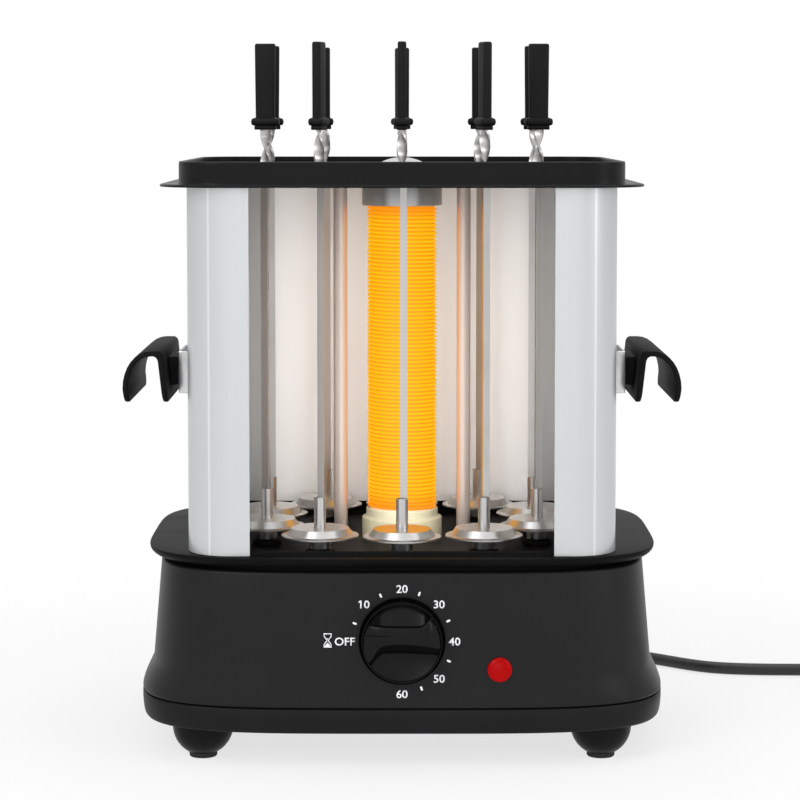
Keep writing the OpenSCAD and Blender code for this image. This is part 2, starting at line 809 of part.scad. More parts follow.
module rivet_row(side) {
    step = shield_h / rivets;
    for (k = [0:rivets - 1])
        translate([side * (rear_x - back_lap / 2), shield_y, shield_z0 + step * (k + 0.5)])
            rotate([-90, 0, 0]) cylinder(r1 = rivet_r, r2 = rivet_r * 0.7, h = 0.8);
}

// ---- side handles ----

clip_up = 2.4; // clip above the handle tips
block_up = 7.4; // block above the handle tips
clip_z = shield_z0 + handle_z + clip_up;
block_z = shield_z0 + handle_z + block_up;
block_x0 = shield_x + clip_d;
handle_x0 = block_x0 + block_t;
tip_cut = 7;
inner_lean = 1.3; // lean of the inner leg
outer_lean = 0.9; // lean of the outer leg
crown_x = 8.5; // centre of the crown's curve
crown_y = 8;
crown_steps = 8;

// Edge of a handle's section, from the tip of its inner leg over the crown to its outer
// tip: x runs outwards from the block, y up from the tips
function handle_edge(inset) =
    let (rx = handle_w - outer_lean - crown_x - inset, ry = handle_h - crown_y - inset,
         top = handle_h - inset, x0 = inset + inner_lean)
    concat(
        [[inset - inner_lean, 0], [x0, top - 2.8], [x0 + 0.7, top - 0.9], [x0 + 2.4, top]],
        [for (k = [0:crown_steps])
            let (a = 90 - 90 * k / crown_steps) [crown_x + rx * cos(a), crown_y + ry * sin(a)]],
        [[handle_w - 2 * outer_lean - inset, 0]]);

module handle_section() {
    inner = handle_edge(handle_t);
    last = len(inner) - 1;
    polygon(concat(handle_edge(0), [for (k = [0:last]) inner[last - k]]));
}

module handle() {
    color([0.11, 0.11, 0.11]) {
        translate([handle_x0, 0, shield_z0 + handle_z]) intersection() {
            translate([0, handle_len / 2, 0]) rotate([90, 0, 0])
                linear_extrude(handle_len) handle_section();
            translate([-handle_w / 2, 0, 0]) rotate([90, 0, 90]) linear_extrude(2 * handle_w)
                rounded_low(handle_len / 2, handle_h, tip_cut);
        }
        translate([block_x0, -block_len / 2, block_z])
            cube([block_t + inner_lean, block_len, block_h]);
    }
}

// Rectangle of half width hx and height h with its two lower corners rounded
module rounded_low(hx, h, r) {
    translate([-hx, r]) square([2 * hx, h + 1 - r]);
    translate([r - hx, 0]) square([2 * (hx - r), h]);
    for (sx = [-1, 1]) translate([sx * (hx - r), r]) circle(r);
}

module handle_left() {
    mirror([1, 0, 0]) handle();
}

module handle_right() {
    handle();
}

// A folded steel clip for each handle, and the rivets of the rear reflector
module shield_fittings() {
    len = block_len - 4;
    color([0.8, 0.8, 0.81]) {
        for (side = [0, 1]) mirror([side, 0, 0]) translate([shield_x, 0, clip_z]) difference() {
            translate([0, -len / 2, 0]) cube([clip_d, len, clip_h]);
            translate([-1, clip_t - len / 2, -1])
                cube([clip_d - clip_t + 1, len - 2 * clip_t, clip_h + 2]);
        }
        for (side = [-1, 1]) rivet_row(side);
    }
}

// ---- cover ----

// The plate that the skewers pass through
module top_cover() {
    in = cover_wall + fit / 2;
    color([0.11, 0.11, 0.115]) difference() {
        translate([0, 0, cover_plate_z]) linear_extrude(cover_t)
            rounded(cover_x - in, cover_y - in, cover_r - in);
        for (p = STATIONS)
            bore(p[0], p[1], skewer_hole_r, cover_plate_z - 1, cover_plate_z + cover_t + 1);
    }
}

// The wall round the plate, with its brim
module cover_rim() {
    color([0.11, 0.11, 0.115]) translate([0, 0, cover_z0]) {
        linear_extrude(cover_h) ring(cover_x, cover_y, cover_r, cover_wall);
        linear_extrude(brim_t) difference() {
            rounded(cover_x + brim_x, cover_y + brim_y, brim_r);
            rounded(cover_x - cover_wall / 2, cover_y - cover_wall / 2, cover_r - 1);
        }
    }
}

dome_plinth = 2.5;

module cover_dome() {
    z = cover_plate_z + cover_t;
    drop = sqrt(dome_ball_r * dome_ball_r - dome_r * dome_r);
    color([0.85, 0.85, 0.86]) {
        bore(0, 0, dome_r, z, z + dome_plinth);
        translate([0, 0, z + dome_plinth]) intersection() {
            translate([0, 0, -drop]) sphere(dome_ball_r);
            cylinder(r = dome_r + 1, h = dome_ball_r);
        }
    }
}

// ---- controls ----

knob_gap = 0.6;
skirt_h = 6;
cap_h = 4;
bar_w = 10;
timer_d = 28;
timer_w = 40;
timer_h = 36;
timer_bore_h = 9;
lens_step = 1.2; // step between the lens flange and its stem
lens_t = 1.2;
lens_rise = 2.2;

module timer_knob() {
    top = knob_gap + knob_reach;
    on_front(0, knob_z) {
        color([0.1, 0.1, 0.1]) difference() {
            union() {
                bore(0, 0, knob_d / 2, knob_gap, knob_gap + skirt_h);
                bore(0, 0, knob_cap_d / 2, knob_gap + skirt_h, knob_gap + skirt_h + cap_h);
                intersection() {
                    bore(0, 0, knob_cap_d / 2, knob_gap + skirt_h, top);
                    translate([-knob_d / 2, -bar_w / 2, knob_gap + skirt_h])
                        cube([knob_d, bar_w, top]);
                }
            }
            bore(0, 0, shaft_r + fit / 5, knob_gap - 1, top - 6);
        }
        color([0.75, 0.75, 0.76]) bore(0, 0, shaft_r, 1 - wall - timer_bore_h, top - 6);
    }
}

module timer_unit() {
    color([0.8, 0.79, 0.74]) on_front(0, knob_z) difference() {
        translate([-timer_w / 2, -timer_h / 2, -wall - seat - timer_d])
            cube([timer_w, timer_h, timer_d]);
        bore(0, 0, shaft_r + run_clear, -wall - timer_bore_h, 1);
    }
}

module pilot_lens() {
    ball = (pow(lens_d / 2, 2) + lens_rise * lens_rise) / (2 * lens_rise);
    color([0.85, 0.02, 0.02]) on_front(lens_x, lens_z) {
        bore(0, 0, lens_d / 2, seat, lens_t);
        translate([0, 0, lens_t]) intersection() {
            translate([0, 0, lens_rise - ball]) sphere(ball);
            cylinder(r = lens_d, h = lens_rise + 1);
        }
        bore(0, 0, lens_d / 2 - lens_step, -wall - 5, lens_t);
    }
}

// ---- cord ----

// The outlet bush, on a flat seat sunk in the sloping back wall
gland_x = ROUTE[0][0];
gland_z = ROUTE[0][2];
gland_y1 = ROUTE[0][1];
gland_neck_r = 6;
gland_flange_r = 8;
gland_flange_t = 3;
gland_seat = -front_y(gland_x + gland_flange_r, gland_z + gland_flange_r);

module cord_gland() {
    color([0.08, 0.08, 0.08]) translate([gland_x, 0, gland_z]) rotate([-90, 0, 0]) {
        bore(0, 0, gland_neck_r, gland_seat - wall - 2, gland_seat);
        bore(0, 0, gland_flange_r, gland_seat, gland_seat + gland_flange_t);
        translate([0, 0, gland_seat + gland_flange_t])
            cylinder(r1 = gland_neck_r, r2 = cord_d / 2 + 0.9,
                     h = gland_y1 - gland_seat - gland_flange_t);
    }
}

// Smooth curve through the route's points
function spline(p, i, t) =
    let (a = p[max(i - 1, 0)], b = p[i], c = p[i + 1], d = p[min(i + 2, len(p) - 1)])
    0.5 * (2 * b + (c - a) * t + (2 * a - 5 * b + 4 * c - d) * t * t
           + (3 * b - a - 3 * c + d) * t * t * t);
function unit(v) = v / norm(v);
cord_sides = 8;

module tube(p, r, per_span) {
    n = (len(p) - 1) * per_span;
    path = [for (k = [0:n])
        let (i = min(floor(k / per_span), len(p) - 2)) spline(p, i, k / per_span - i)];
    rings = [for (k = [0:n])
        let (along = unit(path[min(k + 1, n)] - path[max(k - 1, 0)]),
             across = unit(cross(along, [0, 0, 1])), up = cross(across, along))
        [for (s = [0:cord_sides - 1])
            let (a = 360 * (s + 0.5) / cord_sides)
            path[k] + r * cos(a) * across + r * sin(a) * up]];
    sides = [for (k = [0:n - 1]) for (s = [0:cord_sides - 1])
        let (q = (s + 1) % cord_sides, a = k * cord_sides + s, b = a + cord_sides,
             c = (k + 1) * cord_sides + q, d = k * cord_sides + q)
        each [[a, c, b], [a, d, c]]];
    ends = [[for (s = [cord_sides - 1:-1:0]) s],
            [for (s = [0:cord_sides - 1]) n * cord_sides + s]];
    polyhedron([for (ring = rings) each ring], concat(sides, ends));
}

module cord_run() {
    color([0.08, 0.08, 0.08]) tube(ROUTE, cord_d / 2, 2);
}

module cord_coil() {
    inner = coil_turn_r - coil_w / 2;
    bevel = 2; // corners of the wound ring
    color([0.08, 0.08, 0.08]) translate([coil_x, coil_y, 0]) rotate_extrude(start = 0)
        translate([inner, 0]) polygon([
            [bevel, 0], [coil_w - bevel, 0], [coil_w, bevel], [coil_w, coil_h - bevel],
            [coil_w - bevel, coil_h], [bevel, coil_h], [0, coil_h - bevel], [0, bevel]]);
}

module plug() {
    x = coil_x + coil_turn_r - coil_w / 2;
    color([0.08, 0.08, 0.08]) translate([x, coil_y, coil_h]) {
        translate([-plug_w / 2, -plug_len, 0]) cube([plug_w, plug_len, plug_h]);
        translate([0, 0, plug_h / 2]) rotate([-90, 0, 0])
            cylinder(r1 = plug_h / 2 - 1, r2 = cord_d / 2 + 1, h = plug_cone);
    }
    color([0.8, 0.78, 0.6]) for (sx = [-1, 1])
        translate([x + sx * pin_gap / 2, coil_y - plug_len, coil_h + plug_h / 2])
            rotate([90, 0, 0]) cylinder(r = pin_r, h = pin_len);
}

// ---- what is drawn ----

base_housing();
bottom_pan();
feet();
foot_pads();
drip_tray();
gear_plate();
case_screws();
gear_motor();
motor_pinion();
heater_core();
heater_coil();
heater_foot();
heater_top_holder();
support_posts();
top_cover();
cover_rim();
cover_dome();
reflector_left();
reflector_right();
rear_reflector();
handle_left();
handle_right();
shield_fittings();
timer_knob();
timer_unit();
pilot_lens();
cord_gland();
cord_run();
cord_coil();
plug();
for (i = [0:9]) rotor(i);
for (i = [0:9]) skewer_blade(i);
for (i = [0:9]) skewer_grip(i);
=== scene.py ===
"""Dresses the electric skewer grill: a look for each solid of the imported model."""

import bmesh
import bpy
import math
from mathutils import Matrix, Vector


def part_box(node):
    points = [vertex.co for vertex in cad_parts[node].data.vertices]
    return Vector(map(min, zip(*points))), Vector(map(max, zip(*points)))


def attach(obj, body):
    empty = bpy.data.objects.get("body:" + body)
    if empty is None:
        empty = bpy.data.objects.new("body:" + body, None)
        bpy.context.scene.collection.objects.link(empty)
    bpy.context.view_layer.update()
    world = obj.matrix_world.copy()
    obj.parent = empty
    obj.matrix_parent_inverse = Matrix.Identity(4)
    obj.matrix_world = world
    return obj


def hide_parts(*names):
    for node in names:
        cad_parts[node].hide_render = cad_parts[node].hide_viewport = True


bl_info = {
    "name": "Electric Skewer Grill",
    "version": (1, 0, 0),
    "blender": (4, 5, 0),
    "location": "3D View > Sidebar > Grill",
    "description": "Dresses a skewer grill with its shells, skewers, heater, dial and cord",
    "category": "Object",
}

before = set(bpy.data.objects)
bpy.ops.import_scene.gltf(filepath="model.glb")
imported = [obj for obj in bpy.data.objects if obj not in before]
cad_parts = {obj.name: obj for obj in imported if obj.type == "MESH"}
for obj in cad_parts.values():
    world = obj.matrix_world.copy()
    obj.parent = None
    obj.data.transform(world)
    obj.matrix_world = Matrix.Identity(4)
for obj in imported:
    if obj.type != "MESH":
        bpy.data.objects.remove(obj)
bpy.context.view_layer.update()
MM = 0.001


# ---- node wiring ----


class Wire:
    """An output socket that takes part in arithmetic."""

    def __init__(self, tree, socket):
        self.tree, self.socket = tree, socket

    def sum(self, operation, *values):
        return self.tree.maths(operation, *values)

    def __add__(self, other):
        return self.sum("ADD", self, other)

    def __sub__(self, other):
        return self.sum("SUBTRACT", self, other)

    def __rsub__(self, other):
        return self.sum("SUBTRACT", other, self)

    def __mul__(self, other):
        return self.sum("MULTIPLY", self, other)

    def __pow__(self, other):
        return self.sum("POWER", self, other)

    def __lt__(self, other):
        return self.sum("LESS_THAN", self, other)

    def __abs__(self):
        return self.sum("ABSOLUTE", self)

    __radd__ = __add__
    __rmul__ = __mul__


class Tree:
    """A node tree and the one way to add a node to it."""

    def __init__(self, tree):
        self.tree = tree

    def node(self, kind, settings=None, sockets=None):
        made = self.tree.nodes.new(kind)
        for key, value in (settings or {}).items():
            setattr(made, key, value)
        for key, value in (sockets or {}).items():
            self.feed(made.inputs[key], value)
        return made

    def feed(self, socket, value):
        if isinstance(value, Wire):
            value = value.socket
        if isinstance(value, bpy.types.NodeSocket):
            self.tree.links.new(value, socket)
        else:
            socket.default_value = value

    def out(self, kind, settings=None, sockets=None, output=0):
        return Wire(self, self.node(kind, settings, sockets).outputs[output])

    def maths(self, operation, *values):
        return self.out("ShaderNodeMath", {"operation": operation}, dict(enumerate(values)))

    def between(self, value, low, high):
        """0 below low, 1 above high, and smooth between."""
        return self.out(
            "ShaderNodeMapRange",
            {"interpolation_type": "SMOOTHSTEP"},
            {"Value": value, "From Min": low, "From Max": high},
        )


def rgb(color):
    """A colour as the eye sees it, 0 to 255, as the linear light that nodes take."""
    return tuple(
        c / 255 / 12.92 if c <= 10 else ((c / 255 + 0.055) / 1.055) ** 2.4 for c in color
    )


def scaled(color, share):
    return tuple(c * share for c in color)


def opaque(color):
    """What a colour socket takes: a plain colour gets its alpha, a wire stays as it is."""
    return (*color, 1) if isinstance(color, tuple) else color


class Finish(Tree):
    """A material: what changes over the surface, and one shader that shows it."""

    def __init__(self, name):
        self.material = bpy.data.materials.new(name)
        self.material.use_nodes = True
        super().__init__(self.material.node_tree)
        self.tree.nodes.clear()
        self.place = self.out("ShaderNodeTexCoord", output="Object")

    def stretched(self, *scale):
        return self.out("ShaderNodeMapping", None, {"Vector": self.place, "Scale": scale})

    def noise(self, scale, detail=2.0, place=None, roughness=0.5):
        return self.out(
            "ShaderNodeTexNoise",
            None,
            {"Vector": place or self.place, "Scale": scale, "Detail": detail, "Roughness": roughness},
        )

    def axis(self, name):
        return self.out("ShaderNodeSeparateXYZ", None, {0: self.place}, output="XYZ".index(name))

    def mix(self, a, b, share):
        sockets = {"Factor": share, 6: opaque(a), 7: opaque(b)}
        return self.out("ShaderNodeMix", {"data_type": "RGBA"}, sockets, output=2)

    def bump(self, height, depth):
        return self.out("ShaderNodeBump", None, {"Height": height, "Distance": depth})

    def shade(self, color, roughness, **others):
        sockets = {"Base Color": opaque(color), "Roughness": roughness}
        sockets.update((key.replace("_", " "), value) for key, value in others.items())
        shader = self.node("ShaderNodeBsdfPrincipled", None, sockets)
        self.node("ShaderNodeOutputMaterial", None, {"Surface": shader.outputs[0]})
        return self.material


class Recipe(Tree):
    """A geometry node tree with named sizes, which ends in real, finished mesh."""

    def __init__(self, name, sizes):
        group = bpy.data.node_groups.new(name, "GeometryNodeTree")
        super().__init__(group)
        group.interface.new_socket("Geometry", in_out="INPUT", socket_type="NodeSocketGeometry")
        self.values = {}
        for label, value in sizes.items():
            socket = group.interface.new_socket(label, in_out="INPUT", socket_type="NodeSocketFloat")
            self.values[socket.identifier] = value
        group.interface.new_socket("Geometry", in_out="OUTPUT", socket_type="NodeSocketGeometry")
        self.inputs = self.node("NodeGroupInput")

    def size(self, label):
        return Wire(self, self.inputs.outputs[label])

    def make(self, name, geometry, finish, base=None):
        """The tree's result as one plain mesh object."""
        real = self.out("GeometryNodeRealizeInstances", None, {0: geometry})
        real = self.out("GeometryNodeSetShadeSmooth", None, {"Geometry": real, "Shade Smooth": True})
        done = self.out("GeometryNodeSetMaterial", None, {"Geometry": real, "Material": finish})
        self.node("NodeGroupOutput", None, {0: done})
        carrier = bpy.data.objects.new("carrier", base or bpy.data.meshes.new("carrier"))
        bpy.context.collection.objects.link(carrier)
        modifier = carrier.modifiers.new("recipe", "NODES")
        modifier.node_group = self.tree
        for identifier, value in self.values.items():
            modifier[identifier] = value
        result = evaluated(carrier)
        carrier.modifiers.remove(modifier)
        bpy.data.objects.remove(carrier)
        if not result.materials:
            result.materials.append(finish)
        return place(name, result)


# ---- meshes ----


def evaluated(made):
    """A new mesh of an object as its modifiers leave it."""
    return bpy.data.meshes.new_from_object(
        made.evaluated_get(bpy.context.evaluated_depsgraph_get())
    )


def place(name, mesh, finish=None):
    mesh.name = name
    made = bpy.data.objects.new(name, mesh)
    bpy.context.collection.objects.link(made)
    if finish:
        mesh.materials.clear()
        mesh.materials.append(finish)
    return made


def solid(name, points, faces, finish, sharp=35, outward=True):
    """A closed mesh with its edges kept crisp past an angle."""
    mesh = bpy.data.meshes.new(name)
    mesh.from_pydata([tuple(p) for p in points], [], faces)
    if outward:
        tidy = bmesh.new()
        tidy.from_mesh(mesh)
        bmesh.ops.remove_doubles(tidy, verts=tidy.verts, dist=1e-7)
        bmesh.ops.recalc_face_normals(tidy, faces=tidy.faces)
        tidy.to_mesh(mesh)
        tidy.free()
    crisp(mesh, sharp)
    return place(name, mesh, finish)


def crisp(mesh, sharp=35):
    mesh.shade_smooth()
    mesh.set_sharp_from_angle(angle=math.radians(sharp))


def join(name, parts):
    """One object from several, with its place in its mesh."""
    bpy.context.view_layer.update()
    mesh, whole = bpy.data.meshes.new(name), bmesh.new()
    finishes = []
    for part in parts:
        copy = part.data.copy()
        copy.transform(part.matrix_world)
        kept = list(copy.materials) or [None]
        for item in kept:
            if item not in finishes:
                finishes.append(item)
        order = [finishes.index(item) for item in kept]
        start = len(whole.faces)
        whole.from_mesh(copy)
        whole.faces.ensure_lookup_table()
        for face in whole.faces[start:]:
            face.material_index = order[min(face.material_index, len(order) - 1)]
        bpy.data.meshes.remove(copy)
        bpy.data.objects.remove(part)
    whole.to_mesh(mesh)
    whole.free()
    for item in finishes:
        mesh.materials.append(item)
    return place(name, mesh)


def skin(name, rings, finish, caps=True, wrap=False, sharp=35):
    """A mesh drawn through rings of equally many points."""
    n, levels = len(rings[0]), len(rings)
    faces = []
    for k in range(levels if wrap else levels - 1):
        for i in range(n):
            j, up = (i + 1) % n, (k + 1) % levels
            faces.append((k * n + i, k * n + j, up * n + j, up * n + i))
    if caps and not wrap:
        faces.append(tuple(range(n))[::-1])
        faces.append(tuple((levels - 1) * n + i for i in range(n)))
    return solid(name, [p for ring in rings for p in ring], faces, finish, sharp)


def turned(name, profile, finish, centre=(0, 0), steps=64, wrap=False, caps=True, sharp=35):
    """A solid of revolution about an upright axis; profile is (radius, height)."""
    x, y = centre
    turns = [2 * math.pi * i / steps for i in range(steps)]
    rings = [[(x + r * math.cos(a), y + r * math.sin(a), z) for a in turns] for r, z in profile]
    return skin(name, rings, finish, caps, wrap, sharp)


# Radius of the tiny ring that closes a turned piece at its axis
HUB = 0.0001


def turned_solid(name, profile, finish, centre=(0, 0), steps=64, sharp=35):
    """A solid of revolution whose flat ends reach in to the axis."""
    ends = (HUB, profile[0][1]), (HUB, profile[-1][1])
    return turned(name, [ends[0], *profile, ends[1]], finish, centre, steps, sharp=sharp)


def arc(x, z, r, start, end, steps):
    """Points of an arc in a profile, from one angle to another in degrees."""
    turns = [math.radians(start + (end - start) * k / steps) for k in range(steps + 1)]
    return [(x + r * math.cos(a), z + r * math.sin(a)) for a in turns]


def filleted(corners, r):
    """A profile through corners, each but the first and last rounded to the radius r."""
    steps = 4
    made = []
    for k, corner in enumerate(corners):
        at = Vector(corner)
        if k in (0, len(corners) - 1):
            made.append(tuple(at))
            continue
        back, on = Vector(corners[k - 1]) - at, Vector(corners[k + 1]) - at
        half = back.angle(on) / 2
        reach = min(r / math.tan(half), back.length * 0.49, on.length * 0.49)
        radius = reach * math.tan(half)
        middle = at + (back.normalized() + on.normalized()).normalized() * radius / math.sin(half)
        a, b = at + back.normalized() * reach - middle, at + on.normalized() * reach - middle
        turn = a.angle_signed(b)
        for i in range(steps + 1):
            made.append(tuple(middle + Matrix.Rotation(-turn * i / steps, 2) @ a))
    return made


def in_order(items, where):
    """Puts a mesh's items in one order, which the extrusion leaves to chance."""
    rank = {item: k for k, item in enumerate(sorted(items, key=where))}
    items.sort(key=rank.get)


def turn_about(axis, degrees, at=(0, 0, 0)):
    """A turn about an axis, then a shift to a place."""
    return Matrix.Translation(at) @ Matrix.Rotation(math.radians(degrees), 4, axis)


def moved(made, matrix):
    made.data.transform(matrix)
    return made


def bevelled(made, width, segments=2, angle=30):
    """Rounds the edges of a mesh that are sharper than the angle."""
    mesh = bmesh.new()
    mesh.from_mesh(made.data)
    limit = math.radians(angle)
    edges = [e for e in mesh.edges if len(e.link_faces) == 2 and e.calc_face_angle(0) > limit]
    bmesh.ops.bevel(
        mesh, geom=edges, offset=width, segments=segments, profile=0.5, affect="EDGES", clamp_overlap=True
    )
    mesh.to_mesh(made.data)
    mesh.free()
    crisp(made.data)
    return made


def block(name, low, high, finish, bevel=0.0004):
    """A block between two corners with softened edges."""
    x, y, z = zip(low, high)
    points = [(x[i & 1], y[i >> 1 & 1], z[i >> 2]) for i in range(8)]
    faces = [(0, 2, 3, 1), (4, 5, 7, 6), (0, 1, 5, 4), (2, 6, 7, 3), (0, 4, 6, 2), (1, 3, 7, 5)]
    made = solid(name, points, faces, finish)
    return bevelled(made, bevel) if bevel else made


# ---- outlines of the shells ----


POWER = 4.2
AROUND = 192


def swell(hx, hy, n=AROUND):
    """The body's rounded outline with half sizes hx and hy."""

    def bend(v):
        return math.copysign(abs(v) ** (2 / POWER), v)

    turns = [2 * math.pi * (i + 0.5) / n for i in range(n)]
    return [(hx * bend(math.cos(t)), hy * bend(math.sin(t))) for t in turns]


def rounded(hx, hy, r, steps=12):
    """A rectangle with round corners, anticlockwise from the middle of its +X side."""
    r = max(r, 1e-5)
    made = []
    for k, (sx, sy) in enumerate([(1, 1), (-1, 1), (-1, -1), (1, -1)]):
        made += arc(sx * (hx - r), sy * (hy - r), r, 90 * k, 90 * k + 90, steps)
    return made


def at_height(outline, z):
    return [(x, y, z) for x, y in outline]


def even(outline, n=AROUND):
    """The same closed outline with n points, spaced by their angle about the centre."""
    made, count, near = [], len(outline), 1e-12
    angles = [math.atan2(y, x) for x, y in outline]
    for i in range(n):
        want = 2 * math.pi * (i + 0.5) / n
        want = math.atan2(math.sin(want), math.cos(want))
        for k in range(count):
            a, b = angles[k], angles[(k + 1) % count]
            if b < a - math.pi:
                b += 2 * math.pi
            aim = want if want >= a - near else want + 2 * math.pi
            if a - near <= aim <= b + near:
                p, q = Vector(outline[k]), Vector(outline[(k + 1) % count])
                side, way = q - p, Vector((math.cos(want), math.sin(want)))
                denominator = way.x * side.y - way.y * side.x
                t = (way.y * p.x - way.x * p.y) / denominator if abs(denominator) > 1e-15 else 0
                made.append(tuple(p + side * min(max(t, 0), 1)))
                break
    return made


def cut(made, tools):
    """Takes the tools' volume out of a piece and removes them."""
    whole = join("tool", tools)
    modifier = made.modifiers.new("cut", "BOOLEAN")
    modifier.object, modifier.operation, modifier.solver = whole, "DIFFERENCE", "EXACT"
    result, finish = evaluated(made), made.data.materials[0]
    made.modifiers.remove(modifier)
    made.data = result
    result.materials.clear()
    result.materials.append(finish)
    for face in result.polygons:
        face.material_index = 0
    bpy.data.objects.remove(whole)
    crisp(result)


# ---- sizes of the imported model, in metres and degrees ----

PAN_LOW, PAN_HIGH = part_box("bottom_pan")
TRAY_LOW, TRAY_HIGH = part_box("drip_tray")
COVER_LOW, COVER_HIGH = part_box("top_cover")
RIM_LOW, RIM_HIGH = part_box("cover_rim")
CORE_LOW, CORE_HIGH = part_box("heater_core")
NUMBERS = [f"{i:02d}" for i in range(1, 11)]
# Turning axes of the ten spindles, anticlockwise from the front
STATIONS = [
    (0, -0.061984),
    (0.045695, -0.056697),
    (0.077008, -0.023),
    (0.077008, 0.023),
    (0.045695, 0.056697),
    (0, 0.061984),
    (-0.045695, 0.056697),
    (-0.077008, 0.023),
    (-0.077008, -0.023),
    (-0.045695, -0.056697),
]
BASE_X, BASE_Y = PAN_HIGH.x, PAN_HIGH.y
TONGUE, GROOVE = 0.0045, 0.0006
WALL_FOOT, WALL_TOP = PAN_HIGH.z - TONGUE + GROOVE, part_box("base_housing")[1].z
WALL_TILT = 4
DRAFT_X, DRAFT_Y = math.tan(math.radians(4.8)), math.tan(math.radians(WALL_TILT))
SHOULDER_IN, SHOULDER_UP = 0.0065, 0.0184
TRAY_FLOOR, BORE, PAD_R = 0.11, 0.00308, 0.00775


def wall_x(z):
    up = min(max((z - WALL_FOOT) / SHOULDER_UP, 0), 1)
    shoulder = BASE_X - SHOULDER_IN * up * up * (3 - 2 * up)
    return shoulder - max(0, z - WALL_FOOT - SHOULDER_UP) * DRAFT_X


def wall_y(z):
    return BASE_Y - (z - WALL_FOOT) * DRAFT_Y


def front(x, z):
    """Y of the front wall at x and z."""
    return -wall_y(z) * (1 - (abs(x) / wall_x(z)) ** POWER) ** (1 / POWER)


# ---- the cord's facts, in metres ----

CORD_THICK = 0.0075
CORD_LENGTH = 1.12
ON_TABLE = 0.0038
# From the outlet to the coil, in millimetres
ROUTE = [
    (60, 120, 48), (60, 134, 48), (62, 148, 43), (67, 161, 34), (75, 172, 24),
    (86, 180, 14.5), (99, 184, 8), (113, 185, 4.6), (127, 182.5, 3.8), (141, 177, 3.8),
    (153, 170, 3.8), (163, 162, 3.8), (173, 153, 3.8), (182, 145, 3.8), (192, 138, 3.8),
    (203, 133, 3.8), (225, 129.5, 3.8), (250, 129, 3.8), (270, 129, 3.8), (288, 129, 3.8),
]
COIL_AT = (0.312, 0.084)
TURN_OUT, TURN_IN = 0.045, 0.0374
PLUG_AT = (0.3456, 0.086, 0.0237)


def spline(points, per_span):
    """A smooth line that starts and ends on the points and rounds the bends between them."""
    points = [Vector(p) for p in points]
    points = [2 * points[0] - points[1], *points, 2 * points[-1] - points[-2]]
    made = []
    for a, b, c, d in zip(points, points[1:], points[2:], points[3:]):
        for k in range(per_span):
            t = k / per_span
            start = a * (1 - t) ** 3 + b * (3 * t ** 3 - 6 * t * t + 4)
            made.append((start + c * (1 + 3 * t + 3 * t * t - 3 * t ** 3) + d * t ** 3) / 6)
    return [*made, points[-2]]


def eased(value, keys):
    """Smooth steps between (place, level) keys."""
    for (a, low), (b, high) in zip(keys, keys[1:]):
        if value <= b:
            t = min(max((value - a) / (b - a), 0), 1)
            return low + (high - low) * t * t * (3 - 2 * t)
    return keys[-1][1]


def cord_line():
    """Out of the outlet, down to the table, three turns of the stored coil, then a bend into the plug."""
    coil_start = Vector((COIL_AT[0], COIL_AT[1] + TURN_OUT, ON_TABLE))
    line = spline([Vector(p) * MM for p in ROUTE] + [coil_start], 4)[:-1]
    radii = [(0, TURN_OUT), (250, TURN_OUT), (330, TURN_IN), (1200, TURN_IN)]
    heights = [(0, ON_TABLE), (565, ON_TABLE), (665, 0.0114), (915, 0.0114), (1020, 0.0192)]
    heights.append((1150, PLUG_AT[2]))
    leave, end = 1090, 1170

    def on_coil(k, centre, r):
        a = math.radians(90 - k)
        return Vector((centre[0] + r * math.cos(a), centre[1] + r * math.sin(a), eased(k, heights)))

    line += [on_coil(k, COIL_AT, eased(k, radii)) for k in range(0, leave + 1, 5)]
    a = math.radians(90 - leave)
    bend = (PLUG_AT[0] - line[-1].x) / (1 - math.cos(a))
    middle = (PLUG_AT[0] - bend, line[-1].y - bend * math.sin(a))
    line += [on_coil(k, middle, bend) for k in range(leave + 5, end + 1, 5)]
    return [*line, Vector((PLUG_AT[0], PLUG_AT[1], line[-1].z))]


# ---- finishes ----


def moulded(name, color, rough, grain=0.00002, scale=2600, wear=0.06, shine=0.13):
    """Moulded plastic with a spark-eroded grain, faint flow shades and rubbed patches."""
    f = Finish(name)
    fine = f.noise(scale, 3)
    cloud = f.noise(28, 3)
    rubbed = f.between(f.noise(9, 4), 0.52, 0.72)
    base = rgb(color)
    light = tuple(c * 1.28 + 0.0015 for c in base)
    tone = f.mix(base, light, cloud * 0.6 + rubbed * 0.3)
    return f.shade(
        tone,
        rough + (fine - 0.5) * 0.1 - rubbed * wear,
        Normal=f.bump(fine, grain),
        Specular_IOR_Level=shine,
    )


def gloss_black(name, color, rough):
    """Stoved black enamel with fine orange peel and a little dried fat."""
    f = Finish(name)
    peel = f.noise(420, 2)
    film = f.between(f.noise(34, 3), 0.55, 0.8)
    specks = f.between(f.noise(900, 2), 0.66, 0.72)
    tone = f.mix(rgb(color), rgb((52, 44, 36)), film * 0.08 + specks * 0.2)
    return f.shade(
        tone,
        rough + film * 0.05 + specks * 0.08,
        Normal=f.bump(peel, 0.00003),
        Specular_IOR_Level=0.05,
    )


def rolled_steel(name, color, rough, along="Z", grain=0.06, dirt=0.0, metal=1.0):
    """Polished sheet with rolling lines along one axis."""
    f = Finish(name)
    scale = {"X": (6, 900, 900), "Y": (900, 6, 900), "Z": (900, 900, 6)}[along]
    lines = f.noise(1, 3, f.stretched(*scale))
    cloud = f.noise(16, 3)
    base = rgb(color)
    tone = f.mix(base, scaled(base, 0.86), lines * 0.5 + cloud * 0.35)
    if dirt:
        stain = f.between(f.noise(26, 5, roughness=0.65), 0.5, 0.75)
        tone = f.mix(rgb((150, 118, 84)), tone, 1 - stain * dirt)
    rough = rough + (lines - 0.5) * grain + cloud * 0.03
    return f.shade(tone, rough, Metallic=metal, Normal=f.bump(lines, 0.000004))


